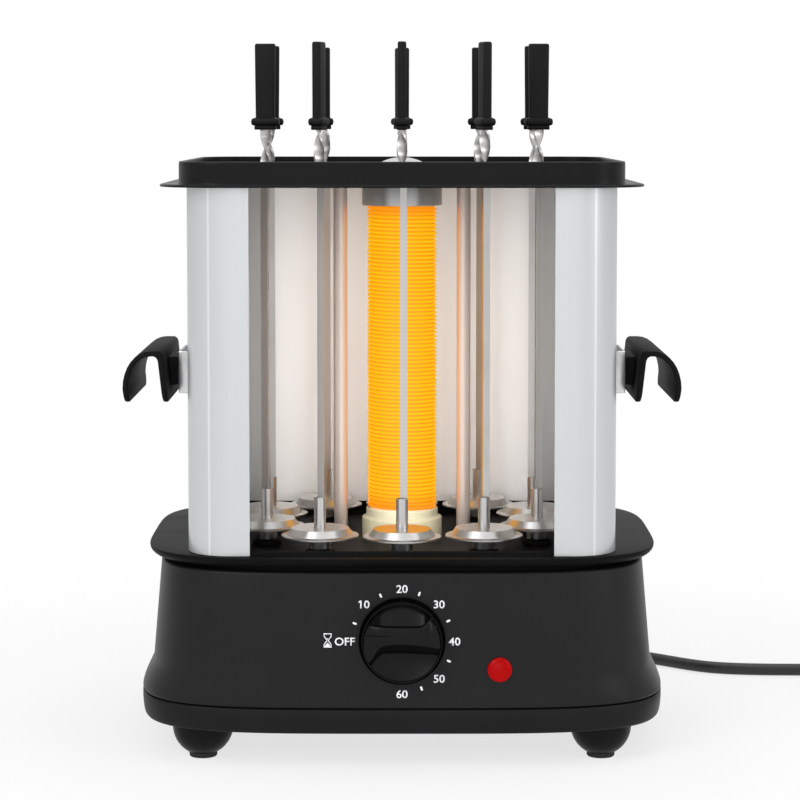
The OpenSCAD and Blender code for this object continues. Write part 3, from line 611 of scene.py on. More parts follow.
def glazed(name, color, rough):
    """Fired ceramic with pores and a soft mottle."""
    f = Finish(name)
    mottle = f.noise(90, 4)
    pores = f.between(f.noise(1500, 2), 0.62, 0.7)
    base = rgb(color)
    tone = f.mix(scaled(base, 1.04), scaled(base, 0.8), mottle * 0.7 + pores * 0.3)
    return f.shade(tone, rough + pores * 0.2, Normal=f.bump(pores, -0.00006))


def rubber(name, color):
    """Soft rubber with bloom and dust in its grain."""
    f = Finish(name)
    fine = f.noise(1800, 4)
    dust = f.between(f.noise(60, 5), 0.5, 0.8)
    tone = f.mix(rgb(color), rgb((84, 82, 78)), dust * 0.14)
    return f.shade(tone, 0.62 + fine * 0.12, Normal=f.bump(fine, 0.00004))


# ---- what a user would change ----


def length(name, default, note, low, high):
    return bpy.props.FloatProperty(
        name=name, description=note, default=default, min=low, max=high, unit="LENGTH", precision=4
    )


def tint(name, default, note):
    return bpy.props.FloatVectorProperty(
        name=name,
        description=note,
        default=tuple(c / 255 for c in default),
        min=0.0,
        max=1.0,
        size=3,
        subtype="COLOR_GAMMA",
    )


def seen(color):
    return tuple(c * 255 for c in color)


class GrillBody(bpy.types.PropertyGroup):
    """Colours of the shells."""

    plastic: tint("Housing", (16, 16, 17), "Colour of the moulded housing")
    enamel: tint("Tray", (11, 11, 12), "Colour of the glossy drip tray")
    sheet: tint("Reflectors", (189, 191, 191), "Colour of the two side sheets")
    vents: bpy.props.IntProperty(
        name="Vents", description="Slots in the back wall", default=9, min=1, max=15
    )


class GrillHeater(bpy.types.PropertyGroup):
    """The upright heater."""

    glow: tint("Glow", (255, 186, 4), "Colour of the winding at full heat")
    ends: tint("Ends", (250, 130, 12), "Colour of the winding near its ends")
    strength: bpy.props.FloatProperty(
        name="Strength", description="Light of the winding and its tube", default=1.0, min=0.0, max=10.0
    )
    pitch: length("Pitch", 0.0023, "Height of one turn of the winding", 0.001, 0.01)
    wire: length("Wire", 0.00068, "Radius of the wire", 0.0001, 0.002)


class GrillSkewers(bpy.types.PropertyGroup):
    """Grips and cups."""

    grip: tint("Grips", (14, 14, 15), "Colour of the skewer grips")
    steel: tint("Steel", (208, 207, 206), "Colour of the cups that the blades stand in")
    bead: length("Bead", 0.0159, "Width of the bead under a grip", 0.01, 0.02)


class GrillDial(bpy.types.PropertyGroup):
    """The timer knob and the print round it."""

    print_color: tint("Print", (233, 233, 233), "Colour of the numbers and ticks")
    digit: length("Digit height", 0.0043, "Height of a printed digit", 0.002, 0.01)
    radius: length("Dial radius", 0.0284, "Distance of the numbers from the knob axis", 0.02, 0.05)
    lens: tint("Lens", (140, 0, 2), "Colour of the pilot lens")


class GrillCord(bpy.types.PropertyGroup):
    """The mains lead."""

    sheath: tint("Sheath", (22, 22, 23), "Colour of the lead and plug")
    length: length("Length", CORD_LENGTH, "Whole length of the lead", 0.5, 5.0)


# ---- stage ----


def lamp(name, at, aim, size, watts, mirrored=True):
    data = bpy.data.lights.new(name, "AREA")
    data.shape, data.size, data.size_y = "RECTANGLE", *size
    data.energy = watts
    made = bpy.data.objects.new(name, data)
    made.location = at
    made.visible_glossy, made.visible_camera = mirrored, False
    made.rotation_euler = (Vector(aim) - Vector(at)).to_track_quat("-Z", "Y").to_euler()
    bpy.context.collection.objects.link(made)


class GRILL_OT_stage(bpy.types.Operator):
    """Sets the pale floor, the daylight, the lamps and the camera"""

    bl_idname = "grill.stage"
    bl_label = "Stage"

    def execute(self, context):
        scene = context.scene
        scene.view_settings.view_transform = "Standard"
        data = bpy.data.cameras.new("camera")
        focal, frame_width = 2526, 800
        data.sensor_width, data.lens = 36, 36 * focal / frame_width
        data.shift_x, data.shift_y = -2 / frame_width, -0.1302
        data.clip_start, data.clip_end = 0.05, 50
        camera = bpy.data.objects.new("camera", data)
        camera.location = (0, -1.4506, 0.3516)
        camera.rotation_euler = (math.radians(86), 0, 0)
        scene.collection.objects.link(camera)
        scene.camera = camera
        self.daylight(scene)
        self.floor()
        lamp("window", (-1.1, -1.5, 1.5), (0, 0, 0.2), (1.0, 1.2), 15)
        lamp("panel", (1.5, -0.9, 0.9), (0, 0, 0.2), (0.5, 1.3), 6)
        lamp("top", (0.1, 0.1, 1.9), (0, 0, 0.1), (1.1, 0.8), 10)
        lamp("fill", (0, -1.5, 0.42), (0, 0.05, 0.21), (0.9, 0.5), 10, mirrored=False)
        lamp("opening", (0, -0.093, 0.2), (0, 0.1, 0.2), (0.15, 0.16), 0.4, mirrored=False)
        return {"FINISHED"}

    def daylight(self, scene):
        """Plain grey as light, white to the camera; mirrors see it darker low down, with side panels."""
        world = bpy.data.worlds.new("daylight")
        world.use_nodes = True
        w = Tree(world.node_tree)
        w.tree.nodes.clear()
        path = w.node("ShaderNodeLightPath").outputs
        seen_by = Wire(w, path["Is Camera Ray"])
        light = w.out("ShaderNodeBackground", None, {0: (0.93, 0.95, 1.0, 1), 1: 0.52})
        white = w.out("ShaderNodeBackground", None, {0: (1, 1, 1, 1), 1: 1.0})
        way = w.out("ShaderNodeTexCoord", output="Generated")
        split = w.node("ShaderNodeSeparateXYZ", None, {0: way}).outputs
        side, depth, height = (Wire(w, socket) for socket in split)
        panel = w.between(abs(side), 0.35, 0.5) * (1 - w.between(abs(side), 0.86, 0.94))
        shade = 0.72 + 0.28 * w.between(height, 0.0, 0.5) + 0.14 * panel * (depth < 0.2)
        mirror = w.out("ShaderNodeBackground", None, {0: (1, 1, 1, 1), 1: shade})
        glossy = Wire(w, path["Is Glossy Ray"])
        near = w.out("ShaderNodeMixShader", None, {0: glossy, 1: light, 2: mirror})
        last = w.out("ShaderNodeMixShader", None, {0: seen_by, 1: near, 2: white})
        w.node("ShaderNodeOutputWorld", None, {0: last})
        scene.world = world

    def floor(self):
        """A pale disc that keeps the shadow near the object and turns white further out."""
        f = Finish("pale_floor")
        across, along = f.axis("X"), f.axis("Y")
        far = 0.72 + 0.28 * f.between((across * across + along * along) ** 0.5, 0.2, 0.6)
        path = f.node("ShaderNodeLightPath").outputs
        looked = f.maths("MAXIMUM", Wire(f, path["Is Camera Ray"]), Wire(f, path["Is Glossy Ray"]))
        matt = f.out("ShaderNodeBsdfDiffuse", None, {0: (0.9, 0.9, 0.9, 1)})
        white = f.out("ShaderNodeEmission", None, {0: (1, 1, 1, 1), 1: 1.0})
        both = f.out("ShaderNodeMixShader", None, {0: looked * far, 1: matt, 2: white})
        f.node("ShaderNodeOutputMaterial", None, {0: both})
        r, below, n = 6, -0.0002, 64
        turns = [2 * math.pi * k / n for k in range(n)]
        ring = [(r * math.cos(a), r * math.sin(a), below) for a in turns]
        solid("floor", ring, [tuple(range(n))], f.material, outward=False)


# ---- cord ----


class GRILL_OT_cord(bpy.types.Operator):
    """Lays the mains lead from the back wall to its coil, with its plug"""

    bl_idname = "grill.cord"
    bl_label = "Mains lead"

    def execute(self, context):
        settings = context.scene.grill_cord
        sheath = self.sheath(seen(settings.sheath))
        line = cord_line()
        curve = bpy.data.curves.new("mains_lead", "CURVE")
        curve.dimensions, curve.bevel_depth, curve.bevel_resolution = "3D", CORD_THICK / 2, 5
        curve.use_fill_caps = True
        run = curve.splines.new("POLY")
        run.points.add(len(line) - 1)
        for point, at in zip(run.points, line):
            point.co = (*at, 1)
        run.use_smooth = True
        curve.materials.append(sheath)
        lead = bpy.data.objects.new("mains_lead", curve)
        context.collection.objects.link(lead)
        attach(lead, "base")
        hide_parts("cord_run", "cord_coil")
        plug = self.plug(sheath)
        tie = self.tie()
        self.outlet(sheath)
        return {"FINISHED"}

    def sheath(self, color):
        f = Finish("lead_sheath")
        fine = f.noise(1500, 3)
        scuff = f.between(f.noise(70, 4), 0.56, 0.72)
        return f.shade(
            f.mix(rgb(color), rgb((62, 61, 60)), scuff * 0.25 + fine * 0.06),
            0.42 + scuff * 0.16 + fine * 0.08,
            Normal=f.bump(fine, 0.00003),
        )

    def plug(self, sheath):
        """A two-pin plug: a waisted body with grip ribs, its ribbed cone and two pins."""
        half, root, long, apart = 0.0085, 0.084, 0.036, 0.0095
        middle = Vector((PLUG_AT[0], root, PLUG_AT[2] - half))
        rings = []
        for t in (0, 0.012, 0.05, 0.2, 0.45, 0.7, 0.9, 0.97, 1):
            waist = 1 - 0.2 * math.sin(math.pi * min(t * 1.15, 1)) ** 2
            close = {0: 0.9, 0.012: 0.96, 0.97: 0.97, 1: 0.9}.get(t, 1)
            outline = rounded(0.013 * waist * close, half * close, 0.0055 * close, 6)
            rings.append(
                [(middle.x + x, middle.y - long * t, middle.z + half + z) for x, z in outline]
            )
        shell = skin("shell", rings, sheath, sharp=50)
        first_rib, rib_gap, rib_wide, rib_out, rib_proud = 0.0585, 0.0035, 0.0012, 0.0104, 0.0005
        ribs = []
        for s in (-1, 1):
            for k in range(4):
                x, y = middle.x + s * rib_out, first_rib + rib_gap * k
                start = (x - rib_proud, y, middle.z + 0.004)
                end = (x + rib_proud, y + rib_wide, middle.z + 0.013)
                ribs.append(block("rib", start, end, sheath, 0.0003))
        cone = strain_cone("cone", 0.0062, 0.0046, 0.016, 5, sheath)
        moved(cone, turn_about("X", -90, (middle.x, middle.y, middle.z + half)))
        body = join("plug_body", [shell, cone, *ribs])
        metal = rolled_steel("pin_nickel", (206, 200, 186), 0.22, "Y")
        pin = [(0.0024, 0), (0.0024, 0.0178), (0.0019, 0.0187), (0.0011, 0.019)]
        collar = [(0.00255, 0), (0.0025, 0.009)]
        pins = []
        for s in (-1, 1):
            out = turn_about("X", 90, (middle.x + s * apart, root - long, middle.z + half))
            for name, profile, finish in (("pin", pin, metal), ("collar", collar, sheath)):
                pins.append(moved(turned_solid(name, profile, finish, steps=24), out))
        prongs = join("plug_pins", pins)
        for item in (body, prongs):
            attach(item, "base")
        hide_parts("plug")
        return [body, prongs]

    def tie(self):
        """A soft band round the stored turns."""
        band = rubber("tie_rubber", (46, 46, 48))
        turn = turn_about("Z", 215, (*COIL_AT, 0))
        middle, half = 0.0412, 0.00765
        outline = rounded(0.0086, half, 0.004, 6)
        rings = []
        for out, across in ((0.0, -0.004), (0.0006, -0.0042), (0.0006, 0.0042), (0.0, 0.004)):
            k = 1 + out / 0.0075
            loop = [(middle + x * k, across, half + z * (k if z > 0 else 1)) for x, z in outline]
            rings.append([turn @ Vector(at) for at in loop])
        band_piece = skin("lead_tie", rings, band, caps=False, wrap=True)
        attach(band_piece, "base")
        return band_piece

    def outlet(self, sheath):
        """The moulded bush in the back wall with its ribbed strain relief."""
        back = -front(0.068, 0.056)
        thick, end = 0.003, 0.11998
        rim = filleted([(0.008, 0), (0.008, thick), (0.0062, thick)], 0.0008)
        flange = turned_solid("flange", rim, sheath, steps=40)
        sleeve = strain_cone("sleeve", 0.006, 0.0046, end - back - thick, 4, sheath)
        moved(sleeve, Matrix.Translation((0, 0, thick)))
        neck = turned_solid("neck", [(0.006, -0.005), (0.006, 0)], sheath, steps=32)
        bush = join("cord_outlet", [flange, sleeve, neck])
        moved(bush, turn_about("X", -90, (0.06, back, 0.048)))
        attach(bush, "base")
        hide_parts("cord_gland")


def strain_cone(name, r0, r1, length, ribs, finish):
    """A tapered relief with rings that let it bend; it starts at 0 and points up +Z."""
    profile, groove = [], 0.0006
    for k in range(ribs * 4 + 1):
        t = k / (ribs * 4)
        r = r0 + (r1 - r0) * t
        profile.append((r - (groove if k % 4 == 2 else 0.0), length * t))
    return turned_solid(name, profile, finish, steps=32, sharp=60)


# ---- base ----


class GRILL_OT_base(bpy.types.Operator):
    """Builds the housing, the pan under it and the feet"""

    bl_idname = "grill.base"
    bl_label = "Base"

    def execute(self, context):
        settings = context.scene.grill_body
        black = moulded("housing_plastic", seen(settings.plastic), 0.44, shine=0.2)
        self.housing(black, settings.vents)
        self.pan(moulded("pan_plastic", (18, 18, 19), 0.5, wear=0.1))
        self.feet()
        return {"FINISHED"}

    def housing(self, black, vents):
        edge, wall, lip = 0.0016, 0.003, 0.017
        levels = [WALL_FOOT + SHOULDER_UP * k / 14 for k in range(1, 15)] + [0.08]
        rings = []

        def ring(z, inset):
            rings.append(at_height(swell(wall_x(z) - inset, wall_y(z) - inset), z))

        ring(WALL_FOOT, wall)
        ring(WALL_FOOT, 0.001)
        ring(WALL_FOOT + 0.0003, 0.0003)
        ring(WALL_FOOT + 0.0011, 0)
        for z in levels:
            ring(z, 0)
        for inset, z in arc(edge, WALL_TOP - edge, edge, 180, 90, 5):
            ring(z, inset)
        ring(WALL_TOP, lip)
        ring(WALL_TOP - 0.0025, lip)
        ring(WALL_TOP - 0.0025, wall)
        for z in reversed(levels):
            ring(z, wall)
        shell = skin("housing_shell", rings, black, caps=False, wrap=True, sharp=40)
        gap, half, low, high = 0.006, 0.00125, 0.0713, 0.0873
        slots = []
        for k in range(vents):
            x = (k - (vents - 1) / 2) * gap
            slot = block("slot", (x - half, 0.09, low), (x + half, 0.115, high), black, 0)
            slots.append(bevelled(slot, half - 0.0001, 3))
        cut(shell, slots)
        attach(shell, "base")
        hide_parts("base_housing")

    def pan(self, black):
        low, high = PAN_LOW.z, WALL_FOOT - GROOVE
        profile = [(0.0024, low), (0.0016, low + 0.0002), (0.0011, low + 0.0008), (0.0008, low + 0.0016)]
        profile += [(0.0005, low + 0.0032), (0.0002, low + 0.0056), (0, low + 0.0085), (0, high - 0.0011)]
        profile += [(0.0003, high - 0.0003), (0.001, high), (0.0051, high), (0.0051, high + TONGUE)]
        profile += [(0.0075, high + TONGUE), (0.0075, high - 0.003), (0.0075, low + 0.003)]
        rings = [at_height(swell(BASE_X - inset, BASE_Y - inset), z) for inset, z in profile]
        tub = skin("pan_shell", rings, black, sharp=40)
        gap, row, half_x, half_y, screw, past = 0.014, 0.05, 0.002, 0.022, 0.00206, 0.01
        slots = []
        for side in (-1, 1):
            for k in range(-3, 4):
                x, y = k * gap, side * row
                start, end = (x - half_x, y - half_y, low - past), (x + half_x, y + half_y, low + past)
                slots.append(bevelled(block("slot", start, end, black, 0), half_x - 0.0001, 3))
        hole = [(screw, low - past), (screw, low + past)]
        slots += [turned("hole", hole, black, at, 24) for at in self.corners()]
        cut(tub, slots)
        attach(tub, "base")
        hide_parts("bottom_pan")

    def corners(self):
        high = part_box("foot_pads")[1]
        x, y = high.x - PAD_R, high.y - PAD_R
        return [(x, y), (-x, y), (-x, -y), (x, -y)]

    def feet(self):
        """Four balls that the pan stands on, each on a grooved rubber pad."""
        black = moulded("foot_plastic", (12, 12, 13), 0.38, shine=0.1)
        tread = rubber("pad_rubber", (20, 20, 21))
        r, seat, top = 0.0168, 0.0026, PAN_LOW.z
        middle = seat + math.sqrt(r ** 2 - PAD_R ** 2)
        start, end = (math.degrees(math.asin((z - middle) / r)) for z in (seat, top))
        side = arc(0, middle, r, start, end, 20)
        recess = [(0.0045, 0.0065), (0.0045, seat + 0.0001), (side[0][0] - 0.0004, seat)]
        ball = [*recess, *side, (0.0022, top), (0.0022, 0.0067)]
        pad = [(0.0068, 0), *arc(0.0068, 0.0009, 0.0009, -90, 0, 3), (PAD_R, 0.0012)]
        pad += [(0.0074, 0.0013), (0.0074, 0.0016), (PAD_R, 0.0017), (PAD_R, seat - 0.00005)]
        corners = self.corners()
        balls = [turned("ball", ball, black, at, 56, wrap=True, caps=False) for at in corners]
        pads = [turned_solid("pad", pad, tread, at, 48) for at in corners]
        feet, pad_set = join("ball_feet", balls), join("pad_set", pads)
        pieces = ((feet, "feet", "foot_black"), (pad_set, "foot_pads", "pad_rubber"))
        for made, node, slot_name in pieces:
            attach(made, "base")
            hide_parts(node)


# ---- tray ----


class GRILL_OT_tray(bpy.types.Operator):
    """Builds the drip tray with its ledge, well and bearing bosses"""

    bl_idname = "grill.tray"
    bl_label = "Drip tray"

    def execute(self, context):
        enamel = gloss_black("tray_enamel", seen(context.scene.grill_body.enamel), 0.46)
        (x, y, top), floor, ledge = TRAY_HIGH, TRAY_FLOOR, 0.115
        well_x, well_y, r = 0.11101, 0.08998, 0.018
        rings = []

        def edge(z, inset, inset_y=None):
            rings.append(at_height(even(swell(x - inset, y - (inset_y or inset), 480)), z))

        def well(z, out):
            rings.append(at_height(even(rounded(well_x + out, well_y + out, r + out, 14)), z))

        edge(TRAY_LOW.z + 0.00005, 0.017, 0.009)
        edge(floor - 0.0006, 0.017, 0.009)
        edge(floor, 0.0164, 0.0084)
        roll = [(0.0034, 0), (0.0027, 0.0003), (0.0019, 0.0009), (0.0011, 0.0016), (0.0005, 0.0024)]
        roll += [(0.0001, 0.0033), (0, 0.0040), (0, 0.0044), (0.0001, 0.0047), (0.0003, 0.0049)]
        for inset, up in [*roll, (0.0006, 0.005)]:
            edge(floor + up, inset)
        for out, z in (
            *arc(0.0028, ledge + 0.0008, 0.0008, 270, 180, 3),
            *arc(0.001, top - 0.001, 0.001, 0, 180, 6),
            *arc(-0.002, floor + 0.002, 0.002, 0, -90, 5),
        ):
            well(z, out)
        tray = skin("tray_shell", rings, enamel, sharp=50)
        bore = [(BORE, floor - 0.01), (BORE, floor + 0.01)]
        cut(tray, [turned("bore", bore, enamel, at, 32) for at in STATIONS])
        bosses = self.bosses(enamel)
        for made in (tray, bosses):
            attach(made, "base")
        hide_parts("drip_tray")
        return {"FINISHED"}

    def bosses(self, enamel):
        """A raised bearing boss at each station."""
        sizes = {"Outer": 0.008, "Inner": BORE, "Height": 0.003, "Floor": TRAY_FLOOR}
        r = Recipe("boss_recipe", sizes)
        stations = bpy.data.meshes.new("stations")
        stations.from_pydata([(*at, 0) for at in STATIONS], [], [])
        profile = r.node("GeometryNodeCurvePrimitiveQuadrilateral", {"mode": "RECTANGLE"})
        r.feed(profile.inputs["Width"], r.size("Outer") - r.size("Inner"))
        r.feed(profile.inputs["Height"], r.size("Height"))
        fillet = {"Curve": profile.outputs[0], "Radius": 0.0006, "Count": 3}
        soft = r.out("GeometryNodeFilletCurve", {"mode": "POLY"}, fillet)
        middle = (r.size("Outer") + r.size("Inner")) * 0.5
        around = {"Resolution": 48, "Radius": middle}
        circle = r.out("GeometryNodeCurvePrimitiveCircle", {"mode": "RADIUS"}, around)
        ring = r.out("GeometryNodeCurveToMesh", None, {"Curve": circle, "Profile Curve": soft})
        height = r.out("ShaderNodeCombineXYZ", None, {2: r.size("Floor") + r.size("Height") * 0.5})
        lifted = r.out("GeometryNodeTransform", None, {"Geometry": ring, "Translation": height})
        places = {"Points": r.inputs.outputs["Geometry"], "Instance": lifted}
        points = r.out("GeometryNodeInstanceOnPoints", None, places)
        made = r.make("bearing_bosses", points, enamel, stations)
        crisp(made.data, 40)
        return made


# ---- heater ----


class GRILL_OT_heater(bpy.types.Operator):
    """Builds the ceramic tube, its glowing winding, the foot, the top holder and the posts"""

    bl_idname = "grill.heater"
    bl_label = "Heater"

    def execute(self, context):
        settings = context.scene.grill_heater
        self.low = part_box("heater_coil")[0].z
        self.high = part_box("heater_top_holder")[0].z - 0.0003
        self.core(settings)
        self.winding(settings)
        self.foot()
        self.holder()
        self.posts()
        return {"FINISHED"}

    def hot(self, f, settings, share):
        """Emission colour: orange at both ends, yellow between."""
        z = f.axis("Z")
        above = f.between(z, self.low, self.low + 0.012)
        ends = 1 - above * (1 - f.between(z, self.high - 0.01, self.high))
        flicker = f.noise(60, 2) * 0.3
        return f.mix(rgb(seen(settings.glow)), rgb(seen(settings.ends)), ends * 0.8 + flicker * share)

    def core(self, settings):
        f = Finish("tube_ceramic")
        z = f.axis("Z")
        # Over the wound band the tube gets a dark brown base and an orange emission: painted glow that
        # stands in for the winding's light falling on the ceramic.
        above = f.between(z, self.low - 0.001, self.low + 0.002)
        painted_glow_band = above * (1 - f.between(z, self.high, self.high + 0.006))
        glow = self.hot(f, settings, 0.5)
        painted_glow_tone = f.mix(glow, rgb((240, 146, 6)), 0.7)
        pores = f.between(f.noise(1500, 2), 0.62, 0.7)
        base = f.mix(rgb((236, 226, 200)), rgb((100, 56, 10)), painted_glow_band)
        finish = f.shade(
            base,
            0.7 + pores * 0.1,
            Normal=f.bump(pores, -0.00005),
            # Painted glow on the tube, from the winding's light.
            Emission_Color=f.mix((0, 0, 0), painted_glow_tone, painted_glow_band),
            Emission_Strength=0.85 * settings.strength,
            Specular_IOR_Level=0.2,
        )
        r, inner, soft = CORE_HIGH.x, CORE_HIGH.x - 0.004, 0.0004
        low, high = CORE_LOW.z, CORE_HIGH.z
        profile = [(inner, low), (r - soft, low), (r, low + soft)]
        profile += [(r, high - soft), (r - soft, high), (inner, high)]
        tube = turned("heater_tube", profile, finish, steps=96, wrap=True, caps=False)
        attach(tube, "base")
        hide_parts("heater_core")

    def winding(self, settings):
        f = Finish("winding_wire")
        wire = f.shade(
            rgb((90, 50, 6)),
            0.5 + f.noise(300) * 0.1,
            Emission_Color=self.hot(f, settings, 0.3),
            Emission_Strength=settings.strength,
            Specular_IOR_Level=0.1,
        )
        tall = self.high - self.low
        sizes = {
            "Turns": tall / settings.pitch,
            "Radius": CORE_HIGH.x + 0.0004,
            "Height": tall - 0.001,
            "Wire": settings.wire,
            "Foot": self.low + 0.0005,
        }
        r = Recipe("winding_recipe", sizes)
        path = {
            "Resolution": 48,
            "Rotations": r.size("Turns"),
            "Start Radius": r.size("Radius"),
            "End Radius": r.size("Radius"),
            "Height": r.size("Height"),
        }
        spiral = r.out("GeometryNodeCurveSpiral", None, path)
        around = {"Resolution": 6, "Radius": r.size("Wire")}
        section = r.out("GeometryNodeCurvePrimitiveCircle", {"mode": "RADIUS"}, around)
        swept = {"Curve": spiral, "Profile Curve": section, "Fill Caps": True}
        tube = r.out("GeometryNodeCurveToMesh", None, swept)
        foot = r.out("ShaderNodeCombineXYZ", None, {2: r.size("Foot")})
        lifted = r.out("GeometryNodeTransform", None, {"Geometry": tube, "Translation": foot})
        made = r.make("heater_winding", lifted, wire)
        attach(made, "base")
        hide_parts("heater_coil")

    def foot(self):
        cream = glazed("foot_ceramic", (176, 168, 140), 0.55)
        r, step, inner, floor = 0.023, 0.02065, CORE_HIGH.x + 0.0001, TRAY_FLOOR
        base, top = floor + 0.003, floor + 0.018
        corners = [(inner, base), (inner, top), (step, top), (step, floor + 0.0135)]
        profile = filleted([*corners, (r, floor + 0.0125), (r, floor)], 0.0009)
        profile = [(HUB, floor), (HUB, base), *profile]
        made = turned("heater_socket", profile, cream, steps=96)
        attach(made, "base")
        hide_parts("heater_foot")

    def holder(self):
        """An inverted steel cap under a strip that the posts carry, with two ribs between them."""
        steel = rolled_steel("holder_steel", (204, 204, 204), 0.34, "X", dirt=0.12)
        low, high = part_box("heater_top_holder")
        thick = 0.0015
        low, high, r, inner = low.z, high.z - thick, 0.023, CORE_HIGH.x + 0.0002
        outside = [(inner, low), (r - 0.0002, low), (r, low + 0.0006), (r, high - 0.0002), (HUB, high)]
        inside = [(HUB, high - 0.0008), (r - 0.0012, high - 0.0008)]
        inside += [(r - 0.0012, low + 0.0012), (inner, low + 0.0012)]
        profile = filleted(outside, 0.0008) + inside
        cap = turned("cap", profile, steel, steps=96, wrap=True, caps=False)
        strip = block("strip", (-0.0424, -0.007, high), (0.0424, 0.007, high + thick), steel, 0.0005)
        ribs = []
        for x in (-0.027, 0.027):
            start, end = (x - 0.001, -0.0045, high - 0.0004), (x + 0.001, 0.0045, high)
            ribs.append(block("rib", start, end, steel, 0.0003))
        made = join("heater_cap", [cap, strip, *ribs])
        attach(made, "base")
        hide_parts("heater_top_holder")

    def posts(self):
        """Two turned posts, each with a hexagon collar on the tray floor."""
        # The warm pink tint of the post steel is a painted reflection of the winding's orange glow.
        steel = rolled_steel("post_steel", (216, 200, 190), 0.3, "Z", metal=0.8)
        low, high, r, nut, apart = TRAY_FLOOR, 0.3154, 0.004, 0.0066, 0.0354
        rod = [(HUB, low), *filleted([(r, low), (r, high - 0.0001), (HUB, high)], 0.0003)]
        turns = [math.radians(60 * k + 15) for k in range(6)]
        hexagon = [(nut * math.cos(a), nut * math.sin(a)) for a in turns]
        levels = [(0.94, low + 0.0001), (1, low + 0.0005), (1, low + 0.0038), (0.94, low + 0.0043)]
        parts = []
        for x in (-apart, apart):
            parts.append(turned("post", rod, steel, (x, 0), 40))
            rings = [[(x + a * s, b * s, z) for a, b in hexagon] for s, z in levels]
            parts.append(bevelled(skin("nut", rings, steel), 0.0002, 1))
        made = join("heater_posts", parts)
        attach(made, "base")
        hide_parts("support_posts")


# ---- skewers ----

TURNS = [90, 108, 5, 170, 60, 120, 100, 12, 175, 72]
NECK_TURN, NECK_LONG = 220, 0.024
GRIP_FOOT, GRIP_TOP = (corner.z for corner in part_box("skewer_grip_01"))


